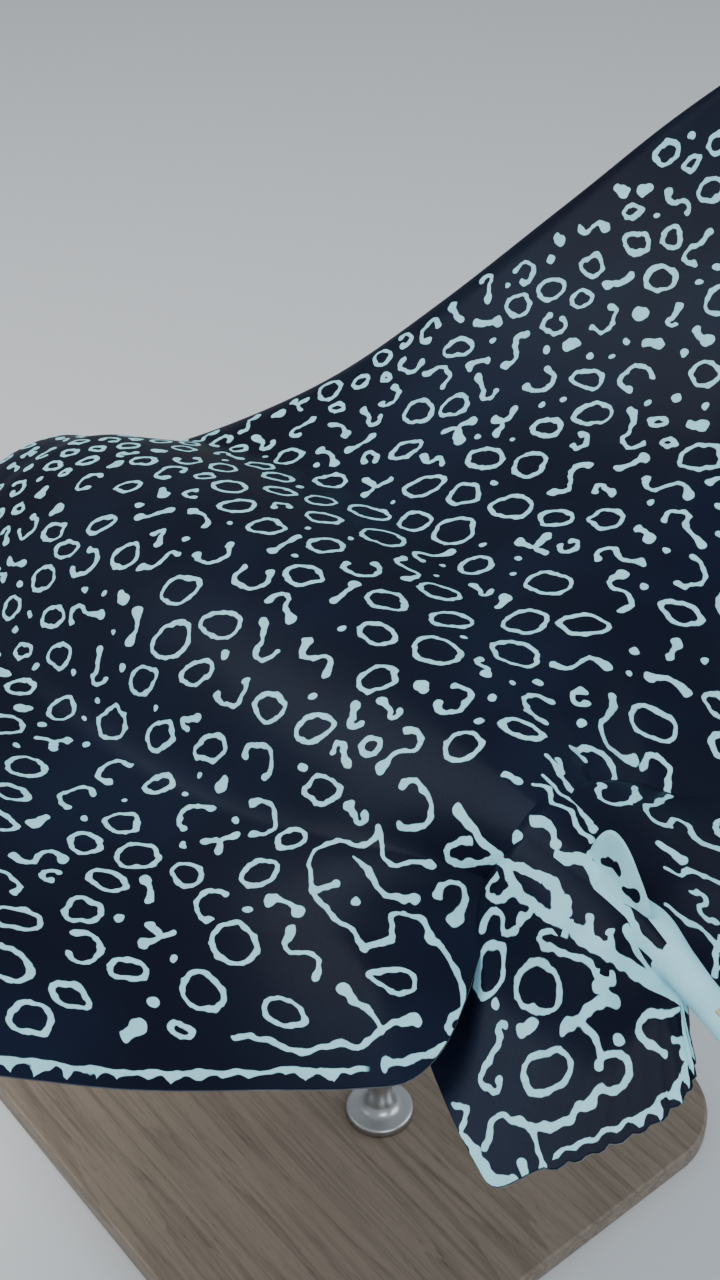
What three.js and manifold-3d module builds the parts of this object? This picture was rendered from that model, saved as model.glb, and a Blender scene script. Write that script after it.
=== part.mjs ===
// A spotted eagle ray at life size, held over a display stand: it glides in a banked turn to its left,
// with the right wing raised. Millimetres, +Z up, the snout towards -Y, the animal's left towards +X.
// The origin is the centre of the stand base's underside.
//
// The animal is modelled whole in its own level frame, in shares of its disc width: "across" is the
// distance from the midline along the curve of the wing, "along" the distance behind the snout's tip,
// and "up" the height. It is then parted by thin cuts into the pieces a person would name.
import * as THREE from 'three';
import { mergeVertices } from 'three/addons/utils/BufferGeometryUtils.js';
import Module from 'manifold-3d';

const wasm = await Module();
wasm.setup();

// ---- Driving dimensions ----------------------------------------------------------------------------
const DISC_WIDTH = 1700; // wing tip to wing tip along the curve of the wings
const GAP = 0.3; // air left between neighbouring pieces
const RIM = 0.0006; // least half thickness of a margin, as a share of the disc width

// The pose: the level animal is turned about PIVOT_ALONG on its midline, then held PIVOT_HEIGHT up.
const PIVOT_ALONG = 0.36;
const PIVOT_HEIGHT = 520;
const BANK = THREE.MathUtils.degToRad(17); // left wing down
const NOSE_DOWN = THREE.MathUtils.degToRad(5.5);

// Each wing turns upwards through "lift" between two distances across, then by "curl" out to its tip.
// "twist" lowers the trailing edge as the wing goes outwards, and "droop" lowers the rear corner.
const WINGS = {
  left: { side: 1, lift: 0.65, from: 0.035, to: 0.22, curl: -0.37, twist: -0.375, droop: 0 },
  right: { side: -1, lift: 0.76, from: 0.035, to: 0.463, curl: 0.14, twist: -0.19, droop: 0.026 },
};
const CURL_FROM = 0.25;
const CURL_SPAN = 0.27;
const TWIST_FROM = 0.05;
const TWIST_SPAN = 0.3;
const TWIST_AXIS_ALONG = 0.4;
const DROOP_ALONG = [0.47, 0.60];
const DROOP_ACROSS = [0.03, 0.11];

// Half outlines of the disc, [across, along]: from the snout to the wing tip in front, and from the
// tail root round the free rear corner to the wing tip behind.
const FRONT_OUTLINE = [
  [0, 0], [0.020, 0.002], [0.034, 0.013], [0.040, 0.030], [0.044, 0.048], [0.055, 0.066],
  [0.063, 0.085], [0.067, 0.102], [0.086, 0.127], [0.125, 0.161], [0.185, 0.207], [0.255, 0.247],
  [0.330, 0.290], [0.400, 0.336], [0.455, 0.383], [0.487, 0.418], [0.500, 0.445],
];
const REAR_OUTLINE = [
  [0, 0.575], [0.0335, 0.575], [0.059, 0.585], [0.081, 0.598], [0.104, 0.608], [0.127, 0.608],
  [0.149, 0.593], [0.185, 0.566], [0.240, 0.534], [0.305, 0.494], [0.372, 0.466], [0.430, 0.453],
  [0.475, 0.448], [0.500, 0.445],
];
const WING_JOINS_HEAD = 0.102; // along, where the leading edge leaves the side of the head
const TAIL_ROOT = 0.575; // along, where the trailing outline leaves the side of the tail

// Sections of the head, trunk and tail: along, half width, height above and depth below the centre,
// the centre's height, and the power that shapes the section (0.5 is an ellipse, 1 a parabola).
const BODY_STATIONS = [
  [0.000, 0.000, 0.0015, 0.0015, -0.0160, 0.50],
  [0.003, 0.0225, 0.0045, 0.0045, -0.0160, 0.50],
  [0.010, 0.026, 0.0080, 0.0070, -0.0160, 0.50],
  [0.025, 0.038, 0.0100, 0.0080, -0.0160, 0.50],
  [0.040, 0.042, 0.0160, 0.0120, -0.0150, 0.48],
  [0.055, 0.049, 0.0330, 0.0190, -0.0110, 0.46],
  [0.072, 0.058, 0.0470, 0.0270, -0.0060, 0.44],
  [0.090, 0.065, 0.0530, 0.0330, -0.0020, 0.44],
  [0.120, 0.078, 0.0570, 0.0370, 0.0000, 0.50],
  [0.180, 0.100, 0.0640, 0.0410, 0.0000, 0.65],
  [0.260, 0.118, 0.0690, 0.0430, 0.0000, 0.80],
  [0.340, 0.120, 0.0680, 0.0410, 0.0000, 0.85],
  [0.420, 0.106, 0.0590, 0.0350, 0.0010, 0.80],
  [0.500, 0.076, 0.0440, 0.0270, 0.0053, 0.65],
  [0.550, 0.047, 0.0310, 0.0212, 0.0108, 0.54],
  [0.575, 0.0335, 0.0252, 0.0190, 0.0122, 0.50],
  [0.600, 0.0262, 0.0195, 0.0172, 0.0118, 0.50],
  [0.625, 0.0185, 0.0150, 0.0140, 0.0095, 0.50],
  [0.650, 0.0120, 0.0112, 0.0105, 0.0065, 0.50],
  [0.672, 0.0086, 0.0085, 0.0082, 0.0035, 0.50],
  [0.700, 0.0077, 0.0075, 0.0075, 0.0000, 0.50],
  [0.800, 0.0070, 0.0066, 0.0066, -0.0100, 0.50],
  [0.950, 0.0062, 0.0058, 0.0058, -0.0300, 0.50],
  [1.200, 0.0052, 0.0049, 0.0049, -0.0600, 0.50],
  [1.500, 0.0041, 0.0040, 0.0040, -0.0850, 0.50],
  [1.800, 0.0031, 0.0030, 0.0030, -0.1000, 0.50],
  [2.100, 0.0020, 0.0019, 0.0019, -0.1050, 0.50],
  [2.300, 0.0010, 0.0009, 0.0009, -0.1000, 0.50],
];
// The swing of the tail: distance along and sideways.
const TAIL_SWING = [
  [0.560, 0.000], [0.600, 0.002], [0.645, 0.009], [0.692, 0.020], [0.800, 0.045], [0.950, 0.070],
  [1.200, 0.075], [1.500, 0.040], [1.800, -0.020], [2.100, -0.060], [2.300, -0.070],
];
const TAIL_CUTS = [0.614, 1.0, 1.4, 1.85, 2.29]; // where each length of the tail begins and ends

// Half thickness of the wing above its middle surface, by distance across; it is 0.75 of that below.
const WING_THICKNESS = [
  [0, 0.030], [0.08, 0.026], [0.15, 0.020], [0.25, 0.0125], [0.35, 0.0075], [0.45, 0.0038],
  [0.50, 0.0024],
];
const UNDERSIDE_SHARE = 0.75;
const FAIRING_POWER = 3.2; // how softly the trunk runs out into the wings

// The margin of a pelvic fin, [across, along], from its front root round to the side of the tail.
const PELVIC_MARGIN = [
  [0.034, 0.548], [0.078, 0.566], [0.106, 0.588], [0.1205, 0.615], [0.1315, 0.645], [0.1335, 0.660],
  [0.1165, 0.670], [0.100, 0.681], [0.081, 0.6915], [0.065, 0.6985], [0.048, 0.6995], [0.032, 0.695],
  [0.012, 0.682],
];
const PELVIC_ROOT = [0.548, 0.668]; // along the middle of the body
const PELVIC_HINGE = [[0.049, 0.540], [0.021, 0.700]]; // the cut that parts fin from trunk
const PELVIC_DROOP = { left: THREE.MathUtils.degToRad(12), right: THREE.MathUtils.degToRad(19) };
const PELVIC_DROP = 0.012; // below the tail's middle line at the root
const PELVIC_THICKNESS = 0.009;
const PELVIC_SHOULDER = 0.065; // over which the upper face comes down from the tail's back

// The dorsal fin, on the tail root: where its base and its free edge begin and end along, its height
// in front and behind, and its lean to the animal's right.
const DORSAL_BASE = [0.606, 0.646];
const DORSAL_EDGE = [0.618, 0.648];
const DORSAL_HEIGHT = [0.028, 0.007];
const DORSAL_LEAN = 0.35;
const DORSAL_HALF_THICKNESS = [0.0042, 0.0009];

const EYE_CENTRE = [0.0500, 0.071, 0.006];
const EYE_RADII = [0.0085, 0.0092, 0.0085];

const CUTS = { bill: 0.043, head: 0.118, wing: 0.112 }; // bill and head by along, wing by across

const STING = { along: 0.698, length: 108, width: 8.5, thickness: 2.6, barbs: 16, barbDepth: 0.9, lift: 3.5 };

const STAND = {
  length: 780, width: 600, corner: 90, thickness: 24, edge: 3,
  rodRadius: 13, footRadius: 36, footHeight: 12, rodsAlong: [0.235, 0.445],
};

// ---- Small helpers ---------------------------------------------------------------------------------
const clamp01 = (x) => Math.min(1, Math.max(0, x));
const smoothStep = (x) => clamp01(x) ** 2 * (3 - 2 * clamp01(x));
const mm = (share) => share * DISC_WIDTH;

/** A smooth curve through a table's stations: cubic pieces whose slopes come from their neighbours. */
function throughStations(table, column) {
  const xs = table.map((row) => row[0]);
  const ys = table.map((row) => row[column]);
  const last = xs.length - 1;
  const slope = (i) => {
    const before = Math.max(0, i - 1);
    const after = Math.min(last, i + 1);
    return (ys[after] - ys[before]) / (xs[after] - xs[before]);
  };
  return (x) => {
    const at = Math.min(xs[last], Math.max(xs[0], x));
    let i = 0;
    while (i < last - 1 && xs[i + 1] <= at) i += 1;
    const span = xs[i + 1] - xs[i];
    const t = (at - xs[i]) / span;
    return ys[i] * (1 + 2 * t) * (1 - t) ** 2 + slope(i) * span * t * (1 - t) ** 2
      + ys[i + 1] * t * t * (3 - 2 * t) + slope(i + 1) * span * t * t * (t - 1);
  };
}

/** Straight lines between a table's rows. */
function betweenRows(xs, ys, x) {
  const last = xs.length - 1;
  if (x <= xs[0]) return ys[0];
  if (x >= xs[last]) return ys[last];
  let low = 0;
  let high = last;
  while (high - low > 1) {
    const middle = (low + high) >> 1;
    if (xs[middle] <= x) low = middle;
    else high = middle;
  }
  return ys[low] + ((ys[high] - ys[low]) * (x - xs[low])) / (xs[high] - xs[low]);
}

/** Points at even steps along a Catmull-Rom curve through the given ones. */
function evenPoints(points, count) {
  const curve = new THREE.CatmullRomCurve3(
    points.map(([x, y, z = 0]) => new THREE.Vector3(x, y, z)), false, 'catmullrom', 0.5);
  curve.arcLengthDivisions = 2400;
  return curve.getSpacedPoints(count - 1);
}

/** The shortest distance from a place in plan to a run of points. */
function distanceTo(line, across, along) {
  let best = Infinity;
  for (let i = 0; i + 1 < line.length; i += 1) {
    const dx = line[i + 1].x - line[i].x;
    const dy = line[i + 1].y - line[i].y;
    const t = clamp01(((across - line[i].x) * dx + (along - line[i].y) * dy) / (dx * dx + dy * dy));
    best = Math.min(best, Math.hypot(across - line[i].x - t * dx, along - line[i].y - t * dy));
  }
  return best;
}

/** A closed mesh as a solid: shared vertices merged, flat triangles dropped. */
function toSolid(geometry) {
  const bare = geometry.clone();
  for (const name of Object.keys(bare.attributes)) if (name !== 'position') bare.deleteAttribute(name);
  const merged = mergeVertices(bare, 1e-4);
  const triVerts = [];
  for (let i = 0; i < merged.index.count; i += 3) {
    const [a, b, c] = [0, 1, 2].map((k) => merged.index.getX(i + k));
    if (a !== b && b !== c && a !== c) triVerts.push(a, b, c);
  }
  return new wasm.Manifold(new wasm.Mesh({
    numProp: 3,
    vertProperties: new Float32Array(merged.attributes.position.array),
    triVerts: new Uint32Array(triVerts),
  }));
}

/** A solid back as a geometry. */
function toGeometry(solid) {
  const mesh = solid.getMesh();
  const geometry = new THREE.BufferGeometry();
  geometry.setAttribute('position', new THREE.BufferAttribute(new Float32Array(mesh.vertProperties), 3));
  geometry.setIndex(new THREE.BufferAttribute(new Uint32Array(mesh.triVerts), 1));
  geometry.computeVertexNormals();
  return geometry;
}

/** The biggest of a solid's separate shells, so that a closed pocket inside it is filled. */
function outerShell(solid) {
  return solid.decompose().sort((a, b) => b.volume() - a.volume())[0];
}

/** A block between two corners given in shares of the disc width, each side moved in by half the gap. */
function block(low, high) {
  const [from, to] = [low.map(mm), high.map(mm)];
  const size = to.map((v, k) => v - from[k] - GAP);
  const box = new THREE.BoxGeometry(...size);
  box.translate(...to.map((v, k) => (v + from[k]) / 2));
  return toSolid(box);
}

/** Loops of points, each with the same count, skinned into a closed solid with both ends capped. */
function loftLoops(loops) {
  const count = loops[0].length;
  const positions = loops.flat().flatMap((p) => [p.x, p.y, p.z]);
  const index = [];
  for (let i = 0; i + 1 < loops.length; i += 1) {
    for (let j = 0; j < count; j += 1) {
      const k = (j + 1) % count;
      const [a, b, c, d] = [i * count + j, i * count + k, (i + 1) * count + k, (i + 1) * count + j];
      index.push(a, b, c, a, c, d);
    }
  }
  const lastLoop = (loops.length - 1) * count;
  for (let j = 1; j + 1 < count; j += 1) {
    index.push(0, j + 1, j);
    index.push(lastLoop, lastLoop + j, lastLoop + j + 1);
  }
  const geometry = new THREE.BufferGeometry();
  geometry.setAttribute('position', new THREE.Float32BufferAttribute(positions, 3));
  geometry.setIndex(index);
  return geometry;
}

// ---- The disc: head, trunk and wings ---------------------------------------------------------------
const FINE = 1200;
const frontLine = evenPoints(FRONT_OUTLINE, FINE);
const rearLine = evenPoints(REAR_OUTLINE, FINE);
const sparse = (line) => line.filter((_, i) => i % 12 === 0 || i === line.length - 1);
const leadingEdge = sparse(frontLine.filter((p) => p.y >= WING_JOINS_HEAD));
const trailingEdge = sparse(rearLine.filter((p) => p.y > TAIL_ROOT || p.x > 0.1));
const [halfWidthAt, aboveAt, belowAt, centreAt, powerAt] = [1, 2, 3, 4, 5].map(
  (column) => throughStations(BODY_STATIONS, column));
const swingAt = throughStations(TAIL_SWING, 1);
const frontAlong = frontLine.map((p) => p.y);
const frontAcross = frontLine.map((p) => p.x);
const thicknessAt = (across) => betweenRows(
  WING_THICKNESS.map((row) => row[0]), WING_THICKNESS.map((row) => row[1]), across);

/** Half width of the body: the outline itself as far as the wings, then the stations. */
function bodyHalfWidth(along) {
  const share = smoothStep((along - WING_JOINS_HEAD) / 0.03);
  if (share === 1) return halfWidthAt(along);
  return betweenRows(frontAlong, frontAcross, along) * (1 - share) + halfWidthAt(along) * share;
}

/** Heights of the upper and lower surface: the body's section and the wing foil, joined by a power mean.
 * "share" is how far out of the body's half width the place lies, at most 1. */
function heightsAt(across, along, share) {
  const section = (1 - share * share) ** powerAt(along);
  const half = bodyHalfWidth(along);
  let foil = 0;
  if (along <= TAIL_ROOT || across > half) {
    const thickness = thicknessAt(across);
    const nose = clamp01(distanceTo(leadingEdge, across, along) / (1.3 * thickness + 0.004));
    const tail = clamp01(distanceTo(trailingEdge, across, along) / (0.10 * (1 - across / 0.5) + 0.012));
    foil = thickness * Math.sqrt(1 - (1 - nose) ** 2) * (1 - (1 - tail) ** 2)
      * smoothStep((along - 0.098) / 0.03);
  }
  const join = (a, b) => (a ** FAIRING_POWER + b ** FAIRING_POWER) ** (1 / FAIRING_POWER);
  const above = join(aboveAt(along) * section, foil) + RIM;
  const below = join(belowAt(along) * section, UNDERSIDE_SHARE * foil) + RIM;
  const middle = centreAt(along) * (1 - smoothStep((across - half) / Math.max(half, 0.02)));
  return [middle + above, middle - below];
}

/** The wing's bend as a table by distance across: angle, and how far out and up it has come. */
function bendTable(wing) {
  const step = 0.002;
  const angleAt = (across) => wing.lift * smoothStep((across - wing.from) / (wing.to - wing.from))
    + wing.curl * smoothStep((across - CURL_FROM) / CURL_SPAN);
  const table = { across: [0], angle: [angleAt(0)], out: [0], up: [0] };
  for (let i = 1; i <= 260; i += 1) {
    const angle = angleAt(i * step);
    const mean = (angle + table.angle[i - 1]) / 2;
    table.across.push(i * step);
    table.angle.push(angle);
    table.out.push(table.out[i - 1] + Math.cos(mean) * step);
    table.up.push(table.up[i - 1] + Math.sin(mean) * step);
  }
  return table;
}
for (const wing of Object.values(WINGS)) wing.table = bendTable(wing);

/** Plan place and height to the level animal's frame in millimetres, with the wing's bend and twist. */
function bent(wing, across, along, height) {
  const { table } = wing;
  const angle = betweenRows(table.across, table.angle, across);
  const out = betweenRows(table.across, table.out, across);
  const up = betweenRows(table.across, table.up, across)
    + wing.twist * smoothStep((across - TWIST_FROM) / TWIST_SPAN) * (along - TWIST_AXIS_ALONG)
    - wing.droop * smoothStep((along - DROOP_ALONG[0]) / (DROOP_ALONG[1] - DROOP_ALONG[0]))
      * smoothStep((across - DROOP_ACROSS[0]) / (DROOP_ACROSS[1] - DROOP_ACROSS[0]));
  return new THREE.Vector3(
    mm(wing.side * (out - Math.sin(angle) * height)), mm(along), mm(up + Math.cos(angle) * height));
}

const BODY_LINES = { top: 7, bottom: 5 }; // from the midline to the side of the body
const WING_LINES = 14; // from the side of the body to the wing tip
const WALL_EASE = 0.6; // share of the wing lines over which the body's side shows in their course
const ROWS = { head: 10, top: 16, bottom: 11, tail: 11 };
const FRONT_END = 0.14;
const REAR_END = 0.06;

/** Even steps in the middle of a row, closing up towards both outlines as a parabola does. */
function rowShare(t) {
  const slope = 1 / (1 - FRONT_END / 2 - REAR_END / 2);
  if (t < FRONT_END) return (slope * t * t) / (2 * FRONT_END);
  if (t < 1 - REAR_END) return slope * (t - FRONT_END / 2);
  return 1 - (slope * (1 - t) ** 2) / (2 * REAR_END);
}

/** A place between the front and rear outlines; the first line follows the side of the body. */
function wingPlace(line, w) {
  const part = line / WING_LINES;
  const from = frontLine.findIndex((p) => p.y >= WING_JOINS_HEAD);
  const to = rearLine.findIndex((p) => p.x >= halfWidthAt(TAIL_ROOT));
  const front = line === 0 ? { x: bodyHalfWidth(WING_JOINS_HEAD), y: WING_JOINS_HEAD }
    : frontLine[Math.round(from + (FINE - 1 - from) * part)];
  const rear = line === 0 ? { x: halfWidthAt(TAIL_ROOT), y: TAIL_ROOT }
    : rearLine[Math.round(to + (FINE - 1 - to) * part)];
  const along = front.y * (1 - w) + rear.y * w;
  const wallAlong = WING_JOINS_HEAD * (1 - w) + TAIL_ROOT * w;
  const straight = bodyHalfWidth(WING_JOINS_HEAD) * (1 - w) + halfWidthAt(TAIL_ROOT) * w;
  const pull = (bodyHalfWidth(wallAlong) - straight) * (1 - smoothStep(part / WALL_EASE));
  return { across: front.x * (1 - w) + rear.x * w + pull, along };
}

/** The head, trunk, wings and first length of the tail as one closed geometry.
 * Each quarter has lines down the body, and lines over the wing that share the body's outermost one. */
function bodyGeometry() {
  const positions = [];
  const index = [];
  const corner = (k) => new THREE.Vector3(...positions.slice(3 * k, 3 * k + 3));
  const quad = (a, b, c, d, turn) => {
    const [p, q, r, s] = turn > 0 ? [a, b, c, d] : [a, d, c, b];
    if (corner(p).distanceTo(corner(r)) < corner(q).distanceTo(corner(s))) {
      index.push(p, q, r, p, r, s);
    } else {
      index.push(p, q, s, q, r, s);
    }
  };
  const put = (wing, face, across, along, share) => {
    const height = heightsAt(across, along, share)[face === 'top' ? 0 : 1];
    const place = bent(wing, across, along, height);
    place.x += mm(swingAt(along));
    return positions.push(...place.toArray()) / 3 - 1;
  };
  const lastRow = (rows) => ROWS.head + rows + ROWS.tail;

  for (const wing of Object.values(WINGS)) {
    const quarters = ['top', 'bottom'].map((face) => {
      const rows = ROWS[face];
      const alongs = [];
      for (let j = 0; j < ROWS.head; j += 1) alongs.push(WING_JOINS_HEAD * (j / ROWS.head) ** 1.6);
      for (let j = 0; j <= rows; j += 1) {
        alongs.push(THREE.MathUtils.lerp(WING_JOINS_HEAD, TAIL_ROOT, rowShare(j / rows)));
      }
      for (let j = 1; j <= ROWS.tail; j += 1) {
        alongs.push(THREE.MathUtils.lerp(TAIL_ROOT, TAIL_CUTS[1], (j / ROWS.tail) ** 1.5));
      }
      const body = [];
      for (let k = 0; k <= BODY_LINES[face]; k += 1) {
        const share = Math.sin(((Math.PI / 2) * k) / BODY_LINES[face]);
        body.push(alongs.map((along) => put(wing, face, share * bodyHalfWidth(along), along, share)));
      }
      const fin = [body[BODY_LINES[face]].slice(ROWS.head, ROWS.head + rows + 1)];
      for (let i = 1; i < WING_LINES; i += 1) {
        fin.push(Array.from({ length: rows + 1 }, (_, j) => {
          const { across, along } = wingPlace(i, rowShare(j / rows));
          return put(wing, face, across, along, 1);
        }));
      }
      const { across, along } = wingPlace(WING_LINES, 0);
      fin.push(new Array(rows + 1).fill(put(wing, face, across, along, 1)));
      return { body, fin, rows, turn: (face === 'top' ? 1 : -1) * wing.side };
    });

    for (const { body, fin, turn } of quarters) {
      for (const grid of [body, fin]) {
        for (let k = 0; k + 1 < grid.length; k += 1) {
          for (let j = 0; j + 1 < grid[k].length; j += 1) {
            quad(grid[k][j], grid[k + 1][j], grid[k + 1][j + 1], grid[k][j + 1], turn);
          }
        }
      }
    }
    // The rim between upper and lower face: down the head, round the wing, then down the tail.
    const rims = quarters.map(({ body, fin, rows }) => {
      const side = body[body.length - 1];
      return [
        ...side.slice(0, ROWS.head), ...fin.map((line) => line[0]),
        ...fin.map((line) => line[rows]).reverse(), ...side.slice(ROWS.head + rows + 1),
      ];
    });
    for (let j = 0; j + 1 < rims[0].length; j += 1) {
      quad(rims[1][j], rims[1][j + 1], rims[0][j + 1], rims[0][j], wing.side);
    }
    // The cut end of the tail.
    const ends = quarters.map(({ body, rows }) => body.map((line) => line[lastRow(rows)]));
    const half = [...ends[0], ...ends[1].reverse()];
    for (let k = 1; k + 1 < half.length; k += 1) {
      if (wing.side > 0) index.push(half[0], half[k], half[k + 1]);
      else index.push(half[0], half[k + 1], half[k]);
    }
  }
  const geometry = new THREE.BufferGeometry();
  geometry.setAttribute('position', new THREE.Float32BufferAttribute(positions, 3));
  geometry.setIndex(index);
  return geometry;
}

/** A geometry swollen by a distance square to its surface, for cutting clearances. */
function swollen(geometry, by) {
  const grown = mergeVertices(geometry, 1e-4);
  grown.computeVertexNormals();
  const { position, normal } = grown.attributes;
  for (let i = 0; i < position.count; i += 1) {
    position.setXYZ(i, position.getX(i) + by * normal.getX(i), position.getY(i) + by * normal.getY(i),
      position.getZ(i) + by * normal.getZ(i));
  }
  return grown;
}

// ---- The tail --------------------------------------------------------------------------------------
/** One length of the tail beyond the first: elliptical loops at even steps along. */
function tailLength(from, to) {
  const [steps, sides] = [9, 8];
  const loops = Array.from({ length: steps + 1 }, (_, i) => {
    const along = from + ((to - from) * i) / steps;
    return Array.from({ length: sides }, (__, j) => {
      const turn = (2 * Math.PI * j) / sides;
      return new THREE.Vector3(
        mm(swingAt(along) - halfWidthAt(along) * Math.cos(turn)), mm(along),
        mm(centreAt(along) + (aboveAt(along) + RIM) * Math.sin(turn)));
    });
  });
  return toSolid(loftLoops(loops));
}

// ---- The fins on the tail root ---------------------------------------------------------------------
/** A pelvic fin as a solid: rulings from the middle of the body out to the margin, thinning as they go. */
function pelvicFin(side) {
  const margin = evenPoints(PELVIC_MARGIN, 14);
  const slope = Math.tan(side > 0 ? PELVIC_DROOP.left : PELVIC_DROOP.right);
  const steps = 6;
  const loops = margin.map((edge, i) => {
    const rootAlong = PELVIC_ROOT[0] + ((PELVIC_ROOT[1] - PELVIC_ROOT[0]) * i) / (margin.length - 1);
    const tailward = swingAt(edge.y) * (1 - smoothStep(edge.x / 0.06));
    const ruling = Array.from({ length: steps + 1 }, (_, j) => {
      const v = j / steps;
      const x = swingAt(rootAlong) * (1 - v) + (side * edge.x + tailward) * v;
      const along = rootAlong * (1 - v) + edge.y * v;
      const outwards = side * (x - swingAt(along));
      const z = centreAt(along) - PELVIC_DROP - slope * Math.max(0, outwards - 0.02);
      const half = PELVIC_THICKNESS * (1 - v ** 0.8) + 0.0008;
      const shoulder = (1 - smoothStep((outwards - 0.35 * bodyHalfWidth(along)) / PELVIC_SHOULDER))
        * smoothStep((along - 0.552) / 0.03) * (1 - smoothStep((along - 0.64) / 0.03));
      const crown = centreAt(along) + 0.93 * aboveAt(along);
      const top = z + half + shoulder * (crown - z - half);
      return { top: [x, along, top], bottom: [x, along, z - half] };
    });
    const around = [...ruling.map((p) => p.top), ...ruling.map((p) => p.bottom).reverse()];
    return around.map((p) => new THREE.Vector3(...p.map(mm)));
  });
  if (side < 0) for (const loop of loops) loop.reverse();
  return toSolid(loftLoops(loops));
}

/** A pelvic fin parted by the hinge cut into its root, which joins the trunk, and its free blade. */
function partedPelvic(side) {
  const [from, to] = PELVIC_HINGE.map(([x, y]) => new THREE.Vector2(side * mm(x), mm(y)));
  const slab = new THREE.BoxGeometry(GAP, from.distanceTo(to) * 1.5, 400);
  slab.rotateZ(-Math.atan2(to.x - from.x, to.y - from.y));
  slab.translate((from.x + to.x) / 2, (from.y + to.y) / 2, 0);
  const reach = (solid) => {
    const { min, max } = solid.boundingBox();
    return side > 0 ? max[0] : -min[0];
  };
  const [root, blade] = pelvicFin(side).subtract(toSolid(slab)).decompose()
    .filter((solid) => solid.volume() > 100).sort((a, b) => reach(a) - reach(b));
  return { root, blade };
}

/** The dorsal fin: a thin swept-back blade standing on the tail root's ridge. */
function dorsalFin() {
  const steps = 6;
  const loops = [];
  for (let i = 0; i <= steps; i += 1) {
    const u = i / steps;
    const base = DORSAL_BASE[0] + (DORSAL_BASE[1] - DORSAL_BASE[0]) * u;
    const edge = DORSAL_EDGE[0] + (DORSAL_EDGE[1] - DORSAL_EDGE[0]) * u;
    const height = DORSAL_HEIGHT[0] + (DORSAL_HEIGHT[1] - DORSAL_HEIGHT[0]) * u ** 1.5;
    const half = Math.max(0.15, Math.sqrt(1 - (2 * u - 1) ** 2));
    const column = [0, 0.35, 0.7, 1].map((v) => {
      const along = base + (edge - base) * v;
      const thick = half * (DORSAL_HALF_THICKNESS[0] * (1 - v) + DORSAL_HALF_THICKNESS[1] * v);
      const x = swingAt(along) - Math.sin(DORSAL_LEAN) * height * v;
      const up = centreAt(along) + aboveAt(along) * 0.8 + Math.cos(DORSAL_LEAN) * height * v;
      return { x, along, thick, up };
    });
    const wall = (sign) => column.map(({ x, along, thick, up }) => new THREE.Vector3(
      mm(x + sign * thick), mm(along), mm(up)));
    loops.push([...wall(-1), ...wall(1).reverse()]);
  }
  return toSolid(loftLoops(loops));
}

/** The venomous spine behind the dorsal fin: a flat blade with barbs pointing forwards on both edges. */
function sting() {
  const outline = new THREE.Shape();
  const barbLength = STING.length / (STING.barbs + 6);
  const halfAt = (y) => (STING.width / 2) * Math.sqrt(Math.max(0.02, 1 - (y / STING.length) ** 2));
  outline.moveTo(-STING.width / 2, 0);
  outline.lineTo(STING.width / 2, 0);
  const barbAt = (i) => (i + 4) * barbLength;
  for (let i = 0; i < STING.barbs; i += 1) {
    const y = barbAt(i);
    outline.lineTo(halfAt(y) - STING.barbDepth, y);
    outline.lineTo(halfAt(y), y - barbLength * 0.25);
  }
  outline.lineTo(0, STING.length);
  for (let i = STING.barbs - 1; i >= 0; i -= 1) {
    const y = barbAt(i);
    outline.lineTo(-halfAt(y), y - barbLength * 0.25);
    outline.lineTo(-halfAt(y) + STING.barbDepth, y);
  }
  const geometry = new THREE.ExtrudeGeometry(outline, { depth: STING.thickness, bevelEnabled: false });
  const { along } = STING;
  const end = along + STING.length / DISC_WIDTH;
  const aim = Math.atan2(swingAt(end) - swingAt(along), end - along);
  const surfaceUp = (a) => mm(centreAt(a) + aboveAt(a));
  const rise = Math.atan2(surfaceUp(end) + STING.lift - surfaceUp(along), STING.length);
  geometry.rotateX(rise);
  geometry.rotateZ(-aim);
  geometry.translate(mm(swingAt(along)), mm(along), surfaceUp(along) - 0.8);
  return toSolid(geometry);
}

/** An eyeball, slightly longer than it is deep. */
function eyeball(side, grow = 0) {
  const ball = new THREE.SphereGeometry(1, 14, 9);
  ball.rotateZ(Math.PI / 2);
  ball.scale(...EYE_RADII.map((r) => mm(r) + grow));
  ball.translate(side * mm(EYE_CENTRE[0]), mm(EYE_CENTRE[1]), mm(EYE_CENTRE[2]));
  return toSolid(ball);
}

// ---- The animal, joined whole and parted by thin cuts ----------------------------------------------
const FAR = 3; // beyond every part of the animal, in disc widths
const pelvics = { left: partedPelvic(1), right: partedPelvic(-1) };
const body = bodyGeometry();
const whole = outerShell(toSolid(body).add(pelvics.left.root).add(pelvics.right.root));
const clearance = toSolid(swollen(body, GAP));
const sockets = eyeball(1, GAP).add(eyeball(-1, GAP));

const flesh = {
  snout: whole.intersect(block([-FAR, -FAR, -FAR], [FAR, CUTS.bill, FAR])),
  head: whole.intersect(block([-FAR, CUTS.bill, -FAR], [FAR, CUTS.head, FAR])).subtract(sockets),
  trunk: whole.intersect(block([-CUTS.wing, CUTS.head, -FAR], [CUTS.wing, TAIL_CUTS[0], FAR])),
  wing_left: whole.intersect(block([CUTS.wing, CUTS.head, -FAR], [FAR, TAIL_CUTS[0], FAR])),
  wing_right: whole.intersect(block([-FAR, CUTS.head, -FAR], [-CUTS.wing, TAIL_CUTS[0], FAR])),
  pelvic_fin_left: outerShell(pelvics.left.blade.subtract(clearance)),
  pelvic_fin_right: outerShell(pelvics.right.blade.subtract(clearance)),
  dorsal_fin: outerShell(dorsalFin().subtract(clearance)),
  tail_1: whole.intersect(block([-FAR, TAIL_CUTS[0], -FAR], [FAR, FAR, FAR])),
};
for (let i = 1; i + 1 < TAIL_CUTS.length; i += 1) {
  const from = TAIL_CUTS[i] + GAP / DISC_WIDTH;
  flesh[`tail_${i + 1}`] = tailLength(from, TAIL_CUTS[i + 1]);
}

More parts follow.
